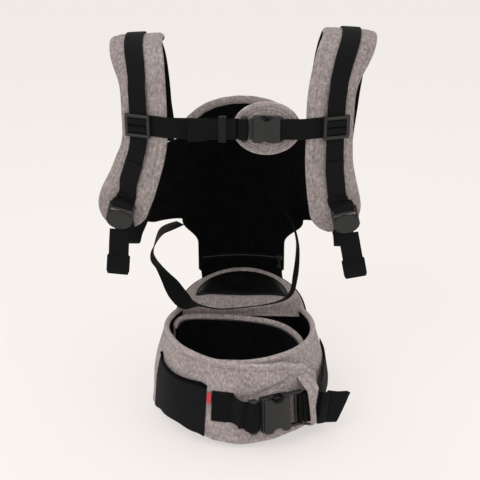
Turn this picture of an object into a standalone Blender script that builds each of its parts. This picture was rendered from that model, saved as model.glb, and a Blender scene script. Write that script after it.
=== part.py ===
"""Soft baby carrier with a hip seat: waist belt, hip seat, back panel, padded shoulder straps, back strap and buckles.

Metres, +Z up. The origin is the middle of the waist opening on the belt's bottom plane.
-Y is the wearer's back, where the belt closes; +Y is the child's side, where the hip seat and back panel are.
"""
import math

import bmesh
import bpy
from mathutils import Matrix, Vector

# ---------------------------------------------------------------- driving dimensions
BELT_A_BOTTOM, BELT_A_TOP = 0.142, 0.117        # half width of the belt ring
BELT_N_BOTTOM, BELT_N_TOP = 0.132, 0.112        # depth of the ring on the wearer's back
BELT_F = 0.1215                                 # depth of the ring on the seat's side
BELT_YC = 0.012
BELT_H = 0.142
SKIN, CORE, GAP = 0.0012, 0.0050, 0.0003        # belt: cover and lining, foam, clearance
OVERLAP_LIFT = 0.0118                           # left wing's lift over the right wing

SEAT_Y0, SEAT_Y1, SEAT_HW = 0.0800, 0.2150, 0.108
SEAT_Z0, SEAT_SLOPE = 0.130, 0.195              # top at the belly side, rise towards the far edge
SEAT_FOOT = 0.034                               # depth of the seat at its foot
SKIN_S = 0.0015

NECK_HW, PANEL_HW, WING_HW = 0.0735, 0.100, 0.160
PANEL_Z0, NECK_Z1, PANEL_Z1, HEAD_Z1 = 0.150, 0.205, 0.430, 0.482
HINGE_Y, HINGE_Z = 0.2225, 0.152
ZIP_Z = 0.178

PAD_W, WEB_S, WEB_C, WEB_W = 0.080, 0.030, 0.030, 0.050   # shoulder pad, strap and waist webbing widths
WEB_T = 0.0015
CHEST_Z = 0.505
CHEST_X, CHEST_Y, CHEST_K = 0.0340, -0.0985, 0.66
WAIST_T0, WAIST_Z, WAIST_TILT = 292.5, 0.058, 2.0

# ---------------------------------------------------------------- scene
for o in list(bpy.data.objects):
    bpy.data.objects.remove(o)
parts = bpy.data.collections.new("soft_baby_carrier")
cutters = bpy.data.collections.new("cutters")
bpy.context.scene.collection.children.link(parts)
bpy.context.scene.collection.children.link(cutters)


def material(name, color, rough, metal=0.0):
    m = bpy.data.materials.new(name)
    m.use_nodes = True
    b = m.node_tree.nodes["Principled BSDF"]
    b.inputs["Base Color"].default_value = (*color, 1.0)
    b.inputs["Roughness"].default_value = rough
    b.inputs["Metallic"].default_value = metal
    return m


GREY = material("grey_melange_fabric", (0.33, 0.275, 0.262), 0.92)
LINING = material("black_lining", (0.006, 0.006, 0.006), 0.9)
MESH = material("black_pocket_knit", (0.012, 0.013, 0.016), 0.85)
WEB = material("black_webbing", (0.011, 0.012, 0.012), 0.75)
PLASTIC = material("black_plastic", (0.022, 0.024, 0.024), 0.38)
GRIP = material("black_grip_leatherette", (0.012, 0.012, 0.012), 0.42)
FOAM = material("white_foam", (0.78, 0.77, 0.74), 0.95)
TAG = material("red_tag", (0.62, 0.01, 0.03), 0.7)


# ---------------------------------------------------------------- small maths
def clamp(t, lo=0.0, hi=1.0):
    return max(lo, min(hi, t))


def lerp(a, b, t):
    return a + (b - a) * t


def smooth(t):
    t = clamp(t)
    return t * t * (3 - 2 * t)


def table(rows, x):
    """Value at x of a table of (x, value), eased between rows."""
    if x <= rows[0][0]:
        return rows[0][1]
    for (x0, y0), (x1, y1) in zip(rows, rows[1:]):
        if x <= x1:
            return lerp(y0, y1, smooth((x - x0) / (x1 - x0)))
    return rows[-1][1]


class Path:
    """A Catmull-Rom curve through points, read by its share of length. Extra vectors ride along."""

    def __init__(self, points, *tracks, steps=14):
        rows = [[Vector(p)] + [Vector(t[i]) for t in tracks] for i, p in enumerate(points)]
        n = len(rows)
        dense = []
        for i in range(n - 1):
            a, b = rows[max(i - 1, 0)], rows[i]
            c, d = rows[i + 1], rows[min(i + 2, n - 1)]
            for k in range(steps):
                t = k / steps
                dense.append([self._cr(a[j], b[j], c[j], d[j], t) for j in range(len(b))])
        dense.append(rows[-1])
        self.rows = dense
        self.cum = [0.0]
        for p, q in zip(dense, dense[1:]):
            self.cum.append(self.cum[-1] + (q[0] - p[0]).length)
        self.length = self.cum[-1]

    @staticmethod
    def _cr(a, b, c, d, t):
        return 0.5 * ((2 * b) + (c - a) * t + (2 * a - 5 * b + 4 * c - d) * t * t + (3 * b - a - 3 * c + d) * t ** 3)

    def at(self, s):
        want = clamp(s) * self.length
        lo, hi = 0, len(self.cum) - 1
        while hi - lo > 1:
            mid = (lo + hi) // 2
            if self.cum[mid] <= want:
                lo = mid
            else:
                hi = mid
        span = self.cum[hi] - self.cum[lo]
        t = 0 if span < 1e-12 else (want - self.cum[lo]) / span
        return [p.lerp(q, t) for p, q in zip(self.rows[lo], self.rows[hi])]

    def pos(self, s):
        return self.at(s)[0]

    def tangent(self, s):
        e = 0.012
        return (self.pos(min(1, s + e)) - self.pos(max(0, s - e))).normalized()


# ---------------------------------------------------------------- builders
def finish(name, bm, mat, coll=None, smooth_angle=40):
    bmesh.ops.recalc_face_normals(bm, faces=bm.faces)
    if bm.calc_volume(signed=True) < 0:
        bmesh.ops.reverse_faces(bm, faces=bm.faces)
    me = bpy.data.meshes.new(name)
    bm.to_mesh(me)
    bm.free()
    if smooth_angle:
        me.shade_smooth()
        me.set_sharp_from_angle(angle=math.radians(smooth_angle))
    ob = bpy.data.objects.new(name, me)
    (coll or parts).objects.link(ob)
    if mat:
        me.materials.append(mat)
    return ob


def slab(name, nu, nv, f, mat):
    """A sheet with thickness: a grid and its extruded copy, shaped by f(u, v, side)."""
    bm = bmesh.new()
    bmesh.ops.create_grid(bm, x_segments=nu, y_segments=nv, size=0.5)
    made = bmesh.ops.extrude_face_region(bm, geom=bm.faces[:], use_keep_orig=True)
    top = {v for v in made["geom"] if isinstance(v, bmesh.types.BMVert)}
    for v in bm.verts:
        v.co = f(clamp(v.co.x + 0.5), clamp(v.co.y + 0.5), 1 if v in top else 0)
    return finish(name, bm, mat)


def offset(surface, u, v, d, e=0.004):
    """Point of a surface moved d along its normal."""
    p = surface(u, v)
    du = surface(min(u + e, 1), v) - surface(max(u - e, 0), v)
    dv = surface(u, min(v + e, 1)) - surface(u, max(v - e, 0))
    return p + du.cross(dv).normalized() * d


def ribbon(name, path, width, t0, t1, nv, mat, nu=1, s0=0.0, s1=1.0):
    """Flat webbing along a path whose first track is its width direction. t0, t1 are its faces along the normal."""

    def f(u, v, k):
        s = lerp(s0, s1, v)
        p, b = path.at(s)[:2]
        t = path.tangent(s)
        b = (b - t * b.dot(t)).normalized()
        n = b.cross(t)
        w = width(s) if callable(width) else width
        return p + b * (u - 0.5) * w + n * (t1 if k else t0)

    return slab(name, nu, nv, f, mat)


def rbox(bm, size, loc=(0, 0, 0), bevel=0.0, rot=None, seg=1):
    made = bmesh.ops.create_cube(bm, size=1.0)
    vs = made["verts"]
    bmesh.ops.scale(bm, vec=size, verts=vs)
    if bevel > 0:
        edges = list({e for v in vs for e in v.link_edges})
        out = bmesh.ops.bevel(bm, geom=edges, offset=bevel, segments=seg, affect="EDGES", profile=0.5)
        vs = list({v for f in out["faces"] for v in f.verts} | {v for v in vs if v.is_valid})
    if rot:
        bmesh.ops.rotate(bm, cent=(0, 0, 0), matrix=Matrix.Rotation(rot[1], 3, rot[0]), verts=vs)
    bmesh.ops.translate(bm, vec=loc, verts=vs)


def cyl(bm, r, h, loc=(0, 0, 0), axis="Z", seg=12, scale=(1, 1, 1)):
    made = bmesh.ops.create_cone(bm, cap_ends=True, segments=seg, radius1=r, radius2=r, depth=h)
    vs = made["verts"]
    if axis == "X":
        bmesh.ops.rotate(bm, cent=(0, 0, 0), matrix=Matrix.Rotation(math.pi / 2, 3, "Y"), verts=vs)
    if axis == "Y":
        bmesh.ops.rotate(bm, cent=(0, 0, 0), matrix=Matrix.Rotation(math.pi / 2, 3, "X"), verts=vs)
    bmesh.ops.scale(bm, vec=scale, verts=vs)
    bmesh.ops.translate(bm, vec=loc, verts=vs)


def hardware(name, adds, cuts, mat, matrix):
    """A moulded part: the first shape, with the other adds joined and the cuts taken away, placed by a matrix."""

    def shape(kind, args, label, coll):
        bm = bmesh.new()
        (rbox if kind == "box" else cyl)(bm, **args)
        return finish(label, bm, mat, coll, 30)

    body = shape(*adds[0], name, parts)
    body.matrix_world = matrix
    for i, (op, spec) in enumerate([("UNION", a) for a in adds[1:]] + [("DIFFERENCE", c) for c in cuts]):
        helper = shape(*spec, f"{name}_{op.lower()}_{i}", cutters)
        helper.matrix_world = matrix
        helper.hide_render = True
        helper.display_type = "WIRE"
        mod = body.modifiers.new(f"{op.lower()}_{i}", "BOOLEAN")
        mod.operation = op
        mod.object = helper
    return body


def box(size, loc, bevel=0.0006):
    return ("box", dict(size=size, loc=loc, bevel=bevel))


def rod(r, h, loc, axis="Z", seg=12, scale=(1, 1, 1)):
    return ("cyl", dict(r=r, h=h, loc=loc, axis=axis, seg=seg, scale=scale))


# ---------------------------------------------------------------- waist belt
def ring(t, z, d=0.0):
    """Point of the belt ring at t degrees (0 is +X, 270 is the wearer's back), height z, moved d outwards in plan."""
    h = z / BELT_H
    a = lerp(BELT_A_BOTTOM, BELT_A_TOP, h)
    r = math.radians(t)
    b = lerp(BELT_N_BOTTOM, BELT_N_TOP, h) if math.sin(r) < 0 else BELT_F
    n = Vector((math.cos(r) / a, math.sin(r) / b, 0)).normalized()
    return Vector((a * math.cos(r), BELT_YC + b * math.sin(r), z)) + n * d


def rise(t, z, d=0.0):
    """Direction up the belt's wall."""
    return (ring(t, z + 0.002, d) - ring(t, z - 0.002, d)).normalized()


def facing(t, z):
    """Outward normal of the belt's wall, with the wall's lean."""
    along = (ring(t + 0.5, z) - ring(t - 0.5, z)).normalized()
    return along.cross(rise(t, z)).normalized()


def lift(t):
    """How far the left wing stands out from the ring, so that it laps over the right wing."""
    return OVERLAP_LIFT * smooth((t - 200) / 33)


LEFT_T = (150.0, 328.0)
RIGHT_T = (390.0, 238.0)
LEFT_TOP = [(150, 0.140), (200, 0.142), (270, 0.1365), (300, 0.131), (316, 0.120), (328, 0.098)]
LEFT_BOTTOM = [(150, 0.0), (185, 0.003), (200, 0.015), (214, 0.0255), (230, 0.0305), (245, 0.0245), (258, 0.0150), (272, 0.0115), (288, 0.0145),
               (305, 0.018), (316, 0.019), (323, 0.026), (328, 0.066)]
RIGHT_BOTTOM = [(238, 0.040), (250, 0.030), (262, 0.020), (300, 0.017), (330, 0.008), (350, 0.0)]
RIGHT_TOP = [(238, 0.134), (270, 0.1365), (310, 0.139), (390, 0.142)]


def wing_layer(name, side, d0, d1, mat, inset=0.0, nu=26, nv=2):
    ts, tops = (LEFT_T, LEFT_TOP) if side == "left" else (RIGHT_T, RIGHT_TOP)
    turn = 1 if ts[1] > ts[0] else -1
    skew = math.degrees(inset / 0.13)

    def f(u, v, k):
        t = lerp(ts[0] + turn * skew, ts[1] - turn * skew, u)
        lo = table(LEFT_BOTTOM if side == "left" else RIGHT_BOTTOM, t) + inset * 0.2
        z = lerp(lo, table(tops, t) - inset, v)
        return ring(t, z, (lift(t) if side == "left" else 0.0) + (d1 if k else d0))

    return slab(name, nu, nv, f, mat)


half = CORE / 2
for side in ("left", "right"):
    wing_layer(f"belt_foam_{side}", side, -half, half, FOAM, inset=0.003)
    wing_layer(f"belt_cover_{side}", side, half + GAP, half + GAP + SKIN, GREY)
    wing_layer(f"belt_lining_{side}", side, -half - GAP - SKIN, -half - GAP, LINING)
WALL = half + GAP + SKIN                         # belt wall's outer face from its middle


def belt_patch(name, t0, t1, z0, z1, d0, d1, mat, on_left=True, nu=6, nv=1, top=None, low=None):
    def f(u, v, k):
        t = lerp(t0, t1, u)
        z = lerp(low(t) if low else z0, top(t) if top else z1, v)
        return ring(t, z, (lift(t) if on_left else 0.0) + (d1 if k else d0))

    return slab(name, nu, nv, f, mat)


belt_patch("belt_loop_patch", 260, 306, 0.026, 0.100, WALL + 0.0006, WALL + 0.0016, LINING, on_left=False)
belt_patch("belt_hook_patch", 262, 304, 0.026, 0.096, -WALL - 0.0016, -WALL - 0.0006, LINING)
belt_patch("side_pocket", 190, 251, 0.001, 0.107, WALL + 0.0008, WALL + 0.0023, MESH, nu=12, nv=2,
           low=lambda t: table(LEFT_BOTTOM, t) + 0.001, top=lambda t: 0.104 + 0.006 * smooth((198 - t) / 8) - 0.004 * smooth((t - 246) / 5))
belt_patch("side_tag", 251.4, 254.0, 0.074, 0.091, WALL + GAP, WALL + GAP + 0.0012, TAG, nu=2)

# belly pad: a free flap inside the ring that the wearer's belly leans on, grey with a black lining on its inner face
BELLY = Path([(-0.1030, 0.030, 0), (-0.0985, 0.050, 0), (-0.0840, 0.0625, 0), (-0.050, 0.0645, 0), (0.000, 0.0600, 0),
              (0.044, 0.0475, 0), (0.070, 0.0300, 0), (0.0890, 0.0030, 0), (0.0985, -0.0240, 0)])


def belly_point(u, z, d):
    p, t = BELLY.pos(u), BELLY.tangent(u)
    return Vector((p.x, p.y, z)) + Vector((-t.y, t.x, 0)) * d


def belly_top(u):
    return 0.1340 - 0.004 * abs(2 * u - 1) ** 3


slab("belly_pad", 16, 2, lambda u, v, k: belly_point(u, lerp(0.010, belly_top(u), v), 0.0035 if k else -0.0035), GREY)
slab("belly_lining", 16, 1, lambda u, v, k: belly_point(lerp(0.01, 0.99, u), lerp(0.011, belly_top(u) - 0.006, v),
                                                        -0.0041 if k else -0.0053), LINING)


# ---------------------------------------------------------------- hip seat
def half_disc(u, v):
    """Square to half disc: x in -1..1, y in 0..1."""
    s, t = 2 * u - 1, v
    return s * math.sqrt(1 - t * t / 2), t * math.sqrt(1 - s * s / 2)


def seat_z(x, y):
    ridge = 0.0055 * math.exp(-((y - 0.106) / 0.018) ** 2) * (1 - (x / 0.12) ** 2)
    bowl = 0.0065 * clamp(1 - (x / 0.088) ** 2 - ((y - 0.164) / 0.052) ** 2)
    return SEAT_Z0 + (y - SEAT_Y0) * SEAT_SLOPE + ridge - bowl


def seat_plan(u, v, inset, z):
    """Plan point of the seat at height z: a half ellipse that gets shallower towards its foot."""
    h = clamp(z / 0.150)
    depth = lerp(SEAT_FOOT, SEAT_Y1 - SEAT_Y0, h) - 2 * inset
    hw = lerp(0.100, SEAT_HW, h) - inset
    x, y = half_disc(u, v)
    return x * hw, SEAT_Y0 + inset + y * depth


def seat_top(u, v, k):
    x, y = seat_plan(u, v, 0.0, 0.150)
    return Vector((x, y, seat_z(x, y) + (SKIN_S if k else 0.0)))


slab("seat_top_cover", 12, 7, seat_top, GREY)


def seat_core(u, v, k):
    z = 0.0025 if k == 0 else None
    if k == 0:
        x, y = seat_plan(u, v, 0.0042, 0.0025)
        return Vector((x, y, 0.0025))
    x, y = seat_plan(u, v, 0.0042, 0.144)
    return Vector((x, y, seat_z(x, y) - 0.0040))


slab("seat_core", 12, 7, seat_core, FOAM)


def seat_wall(u, v, k):
    """The outer wall, from the left near corner round the far side to the right near corner."""
    a = math.pi * (1 - u)
    inset = 0.0 if k else SKIN_S
    x1, y1 = math.cos(a) * (SEAT_HW - inset), SEAT_Y0 + math.sin(a) * (SEAT_Y1 - SEAT_Y0 - inset)
    x0, y0 = math.cos(a) * (0.100 - inset), SEAT_Y0 + math.sin(a) * (SEAT_FOOT - inset)
    top = seat_z(math.cos(a) * SEAT_HW, SEAT_Y0 + math.sin(a) * (SEAT_Y1 - SEAT_Y0)) - GAP
    z = top * v
    return Vector((lerp(x0, x1, v), lerp(y0, y1, v) + 0.002, z))


slab("seat_wall_cover", 24, 3, seat_wall, GREY)
slab("seat_back_cover", 6, 1, lambda u, v, k: Vector((lerp(-0.103, 0.103, u), SEAT_Y0 - (0.0005 if k else 0.0020) - 0.0005,
                                                      lerp(0.0, 0.127, v))), LINING)
slab("seat_base_panel", 8, 3, lambda u, v, k: Vector((*seat_plan(u, v, 0.0040, 0.0), 0.0018 if k == 0 else 0.0)), LINING)


def grip(u, v, k):
    x, y = half_disc(u, v)
    x *= 0.079
    near = 0.1215 + 0.008 * (1 - (x / 0.079) ** 2)
    y = lerp(near, near + 0.082 - 0.008 * (1 - (x / 0.079) ** 2), y)
    return Vector((x, y, seat_z(x, y) + SKIN_S + 0.0014 + (0.0012 if k else 0.0)))


slab("seat_grip_panel", 10, 5, grip, GRIP)


# ---------------------------------------------------------------- back panel, in one surface with its wings and headrest
PY0 = [(0.14, 0.2190), (0.20, 0.2190), (0.26, 0.217), (0.32, 0.208), (0.38, 0.195), (0.43, 0.182), (0.46, 0.172), (0.49, 0.160)]
PK = [(0.14, 2.5), (0.20, 2.7), (0.27, 5.6), (0.32, 6.3), (0.43, 6.3), (0.49, 5.0)]


def panel_y(x, z):
    return table(PY0, z) - table(PK, z) * x * x


def panel_point(x, z, d=0.0):
    """Point of the panel's inner face, moved d outwards, away from the wearer."""
    e = 0.002
    p = Vector((x, panel_y(x, z), z))
    n = Vector((-(panel_y(x + e, z) - panel_y(x - e, z)) / (2 * e), 1.0, -(panel_y(x, z + e) - panel_y(x, z - e)) / (2 * e)))
    return p + n.normalized() * d


def panel_hw(z):
    return table([(0.15, NECK_HW), (NECK_Z1, NECK_HW), (0.264, PANEL_HW), (0.43, PANEL_HW)], z)


def panel_layer(name, d0, d1, mat):
    def f(u, v, k):
        z = lerp(PANEL_Z0, PANEL_Z1, v)
        return panel_point((2 * u - 1) * panel_hw(z), z, d1 if k else d0)

    return slab(name, 8, 11, f, mat)


panel_layer("panel_lining", 0.0, 0.0022, LINING)
panel_layer("panel_cover", 0.0025, 0.0050, GREY)


def wing(name, s):
    def f(u, v, k):
        x = lerp(PANEL_HW + 0.0030, WING_HW, u)
        lo = lerp(0.268, 0.296, u ** 0.8)
        z = lerp(lo + 0.012 * smooth((u - 0.7) / 0.3), PANEL_Z1 - 0.004 - 0.004 * u, v)
        return panel_point(s * x, z, 0.0060 if k else 0.0)

    return slab(name, 6, 8, f, LINING)


wing("wing_left", -1)
wing("wing_right", 1)

HEAD_HW = 0.094


def head_outline(u, v, inset=0.0):
    x, y = half_disc(u, v)
    return x * (HEAD_HW - inset), PANEL_Z1 + 0.0006 + y * (HEAD_Z1 - PANEL_Z1 - inset)


slab("headrest_pad", 10, 5, lambda u, v, k: panel_point(*head_outline(u, v, 0.009), 0.0060 if k else 0.0), LINING)


def tube(name, points, radius, mat, res=2):
    """A rolled edge: a bevelled curve with filled caps."""
    cu = bpy.data.curves.new(name, "CURVE")
    cu.dimensions = "3D"
    cu.bevel_depth = radius
    cu.bevel_resolution = res
    cu.use_fill_caps = True
    sp = cu.splines.new("POLY")
    sp.points.add(len(points) - 1)
    for p, q in zip(sp.points, points):
        p.co = (*q, 1.0)
    ob = bpy.data.objects.new(name, cu)
    parts.objects.link(ob)
    cu.materials.append(mat)
    return ob


HEAD_ROLL_R = 0.0065
roll = []
for i in range(19):
    a = math.pi * (1 - i / 18)
    x, z = math.cos(a) * (HEAD_HW - 0.0010), PANEL_Z1 + 0.0080 + math.sin(a) * (HEAD_Z1 - PANEL_Z1 - 0.0085)
    roll.append(panel_point(x, z, 0.0030))
tube("headrest_roll", roll, HEAD_ROLL_R, GREY)

# zip across the neck of the panel, on its inner face
slab("panel_zip", 12, 1, lambda u, v, k: panel_point(lerp(-0.071, 0.071, u), lerp(ZIP_Z - 0.004, ZIP_Z + 0.004, v),
                                                     -0.0003 if k else -0.0013), LINING)
ZIP_X = 0.0655
zp = panel_point(ZIP_X, ZIP_Z, -0.0030)
hardware("zip_slider", [box((0.010, 0.0026, 0.008), (0, 0, 0)), box((0.0045, 0.0014, 0.018), (0, -0.0005, -0.011), 0.0004)], [],
         PLASTIC, Matrix.Translation(zp) @ Matrix.Rotation(math.radians(-19.5), 4, "Z"))


# ---------------------------------------------------------------- shoulder straps
STRAP = {
    -1: [(-0.140, 0.0605, 0.4365), (-0.142, 0.086, 0.500), (-0.146, 0.072, 0.568), (-0.150, 0.038, 0.606), (-0.1505, 0.000, 0.617),
         (-0.149, -0.036, 0.607), (-0.1425, -0.066, 0.582), (-0.1390, -0.0795, 0.548), (-0.1385, -0.080, 0.505),
         (-0.1395, -0.0795, 0.455), (-0.151, -0.0735, 0.415), (-0.166, -0.063, 0.376), (-0.174, -0.051, 0.338)],
    1: [(0.140, 0.0605, 0.4365), (0.145, 0.086, 0.503), (0.153, 0.072, 0.576), (0.159, 0.038, 0.615), (0.161, 0.000, 0.627),
        (0.158, -0.036, 0.617), (0.147, -0.066, 0.589), (0.1385, -0.0795, 0.550), (0.1370, -0.080, 0.505),
        (0.1375, -0.0795, 0.455), (0.142, -0.0735, 0.413), (0.148, -0.063, 0.373), (0.1515, -0.051, 0.335)],
}
# along the strap: share of length, roll towards the outer side and bend of the outer margin, in degrees
ROLL = [(0.0, 0), (0.40, 3), (0.60, 20), (0.80, 20), (1.0, 12)]
BEND = [(0.0, 16), (0.40, 18), (0.60, 52), (0.80, 52), (1.0, 26)]


class Strap:
    def __init__(self, s):
        self.s = s
        self.path = Path(STRAP[s])

    def frame(self, v):
        t = self.path.tangent(v)
        out = Vector((self.s, 0, 0))
        b = (out - t * out.dot(t)).normalized()
        n = b.cross(t) * -self.s
        return self.path.pos(v), t, b, n        # n points away from the wearer

    def width(self, v):
        return PAD_W * (1 - 0.10 * smooth((0.12 - v) / 0.12)) + 0.004 * smooth((v - 0.7) / 0.2)

    def point(self, q, v, d, flat=False):
        """q is the distance across, towards the outer side; d is the height over the pad's outer face."""
        p, t, b, n = self.frame(v)
        phi, beta = math.radians(table(ROLL, v)), math.radians(table(BEND, v))
        x = y = 0.0
        q0 = 0.014
        ang = phi
        steps = 8
        if q <= q0 or flat:
            x, y = q * math.cos(phi), -q * math.sin(phi)
        else:
            x, y = q0 * math.cos(phi), -q0 * math.sin(phi)
            dq = (q - q0) / steps
            for i in range(steps):
                ang = phi + beta * clamp((q0 + (i + 0.5) * dq - q0) / 0.027)
                x += dq * math.cos(ang)
                y -= dq * math.sin(ang)
            ang = phi + beta * clamp((q - q0) / 0.027)
        nx, ny = math.sin(ang), math.cos(ang)
        return p + b * (x + nx * d) + n * (y + ny * d)

    def round_end(self, v):
        """Share of the full width at v: 1 along the strap, rounded at its lower end."""
        e = clamp((v - 0.925) / 0.075)
        return math.sqrt(max(0.0, 1 - (0.90 * e) ** 2.2))

    def layer(self, name, d0, d1, mat, inset=0.0, nv=18):
        def f(u, v, k):
            vv = lerp(inset * 0.6, 1 - inset * 2.5, v)
            w = self.width(vv) * self.round_end(vv)
            q = (u - 0.5) * (w - 2 * inset)
            return self.point(q, vv, d1 if k else d0)

        return slab(name, 5, nv, f, mat)


def stand_off(z, y):
    """Shoulder webbing's height over the pad: it stands off where the chest slider runs, on the wearer's back."""
    if y > 0:
        return 0.0012
    return 0.0012 + 0.0031 * smooth((0.572 - z) / 0.018) * smooth((z - 0.440) / 0.018)


for s, side in ((-1, "left"), (1, "right")):
    st = Strap(s)
    st.layer(f"shoulder_cover_{side}", -0.0015, 0.0, GREY)
    st.layer(f"shoulder_foam_{side}", -0.0105, -0.0029, FOAM, inset=0.002)
    st.layer(f"shoulder_lining_{side}", -0.0128, -0.0113, LINING)

    # webbing down the middle, ending in the loop that holds the ladder lock
    def web(u, v, k, st=st):
        vv = lerp(0.10, 0.905, v)
        p = st.path.pos(vv)
        d = stand_off(p.z, p.y) + (WEB_T if k else 0.0)
        return st.point((u - 0.5) * WEB_S, vv, d, flat=True)

    slab(f"shoulder_webbing_{side}", 1, 34, web, WEB)

    # ladder lock: rails, two bars and a thumb tongue; it tips about its top bar
    lock = {-1: Vector((-0.1735, -0.0765, 0.3640)), 1: Vector((0.1590, -0.0765, 0.3620))}[s]
    tilt = math.radians({-1: 14, 1: -13}[s])
    m = Matrix.Translation(lock) @ Matrix.Rotation(tilt, 4, "Y")
    hardware(
        f"ladder_lock_{side}",
        [box((0.0390, 0.0045, 0.0035), (0, 0, 0.0180)), box((0.0035, 0.0060, 0.0300), (0.01775, 0, 0.0050)),
         box((0.0035, 0.0060, 0.0300), (-0.01775, 0, 0.0050)), box((0.0350, 0.0040, 0.0040), (0, 0, 0.0045)),
         rod(0.0195, 0.0032, (0, -0.0008, -0.0060), "Y", 20, (1, 1, 0.72))],
        [], PLASTIC, m)

    # tail of the adjusting webbing, hemmed thick at its end, hanging from the ladder lock
    tail_dir = Vector((math.sin(math.radians({-1: 5, 1: -12}[s])) * -1, 0, -1)).normalized()
    top = lock + Vector((0, 0.0030, 0.0)) + tail_dir * 0.0225
    tail = Path([top, top + tail_dir * 0.024, top + tail_dir * 0.048, top + tail_dir * 0.0725], *[[(1, 0, 0)] * 4])

    def tail_f(u, v, k, tail=tail):
        p, b = tail.at(v)[:2]
        t = tail.tangent(v)
        b = (b - t * b.dot(t)).normalized()
        n = Vector((0, -1, 0))
        fat = smooth((v - 0.56) / 0.06)
        w = lerp(WEB_S, 0.0345, fat) * (1 - 0.10 * smooth((v - 0.92) / 0.08))
        h = lerp(WEB_T / 2, 0.0038, fat) * (1 - 0.5 * smooth((v - 0.9) / 0.1))
        return p + b * (u - 0.5) * w + n * (h if k else -h)

    slab(f"shoulder_tail_{side}", 2, 16, tail_f, WEB)

    # webbing from the ladder lock under the pad's end and up to the wing
    xs = {-1: (-0.1715, -0.1695, -0.1680, -0.1670, -0.1655, -0.1580, -0.1530), 1: (0.1575, 0.1580, 0.1600, 0.1610, 0.1605, 0.1560, 0.1530)}[s]
    ys = (lock.y + 0.0100, -0.0560, -0.0440, -0.0250, -0.0040, 0.0150, 0.0280)
    zs = (0.3560, 0.3300, 0.3080, 0.3010, 0.3090, 0.3260, 0.3450)
    low = Path(list(zip(xs, ys, zs)), [(1, 0, 0)] * 7)
    ribbon(f"lower_webbing_{side}", low, WEB_S, 0, WEB_T, 20, WEB)


# ---------------------------------------------------------------- back strap across the shoulder straps
def local_frame(origin, ex, ez):
    ex, ez = Vector(ex).normalized(), Vector(ez).normalized()
    ey = ez.cross(ex)
    m = Matrix((ex, ey, ez)).transposed().to_4x4()
    m.translation = origin
    return m


def slider_frame(s):
    """Frame of the chest slider on one strap: X across the strap, -Y away from the wearer."""
    st = Strap(s)
    vs = min((abs(st.path.pos(i / 400).z - CHEST_Z) + (1 if st.path.pos(i / 400).y > 0 else 0), i / 400) for i in range(401))[1]
    p0, p1 = st.point(-0.010, vs, 0.0, flat=True), st.point(0.010, vs, 0.0, flat=True)
    ex = (p1 - p0) * s
    ex.z = 0
    c = st.point(0.0, vs, 0.0, flat=True)
    c.z = CHEST_Z
    return local_frame(c, ex, (0, 0, 1))


for s, side in ((-1, "left"), (1, "right")):
    m = slider_frame(s)
    # front frame in front of the webbing, rails beside it, middle bar behind it
    hardware(
        f"chest_slider_{side}",
        [box((0.0385, 0.0022, 0.0330), (0, -0.0076, 0), 0.0007), box((0.0030, 0.0056, 0.0322), (0.01740, -0.0054, 0), 0.0004),
         box((0.0030, 0.0056, 0.0322), (-0.01740, -0.0054, 0), 0.0004), box((0.0360, 0.0011, 0.0050), (0, -0.00320, 0), 0.0)],
        [box((0.0310, 0.0060, 0.0230), (0, -0.0086, 0), 0.0)],
        PLASTIC, m)

    # webbing: from behind the shoulder webbing over the pad's inner edge, then straight to the buckle and round its bar
    def loc(x, y):
        return m @ Vector((x, y, 0))

    inner = -s
    b = loc(inner * 0.0385, -0.00130)
    pts = [loc(-inner * 0.0230, -0.00130), loc(-inner * 0.010, -0.00130), loc(inner * 0.010, -0.00130), loc(inner * 0.030, -0.00130)]
    if s < 0:
        wrap = [(-0.0540, 0.0010), (-0.0490, 0.0002), (-0.0465, -0.0032), (-0.0420, -0.0074), (-0.0340, -0.0076), (-0.0283, -0.0045),
                (-0.0276, 0.0020)]
    else:
        wrap = [(0.0560, 0.0014), (0.0510, 0.0008), (0.0484, -0.0016), (0.0445, -0.0044), (0.0410, -0.0036), (0.0402, 0.0010)]
    wrap = [Vector((CHEST_X + x * CHEST_K, CHEST_Y + y * CHEST_K, CHEST_Z)) for x, y in wrap]
    pts += [Vector((b.x + inner * 0.006, b.y - 0.0022, CHEST_Z)), Vector((lerp(b.x, wrap[0].x, 0.55), lerp(b.y, CHEST_Y, 0.9), CHEST_Z))]
    run = Path(pts + wrap, [(0, 0, 1)] * (len(pts) + len(wrap)))
    ribbon(f"chest_webbing_{side}", run, WEB_C, -0.0006, 0.0006, 34, WEB)


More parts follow.
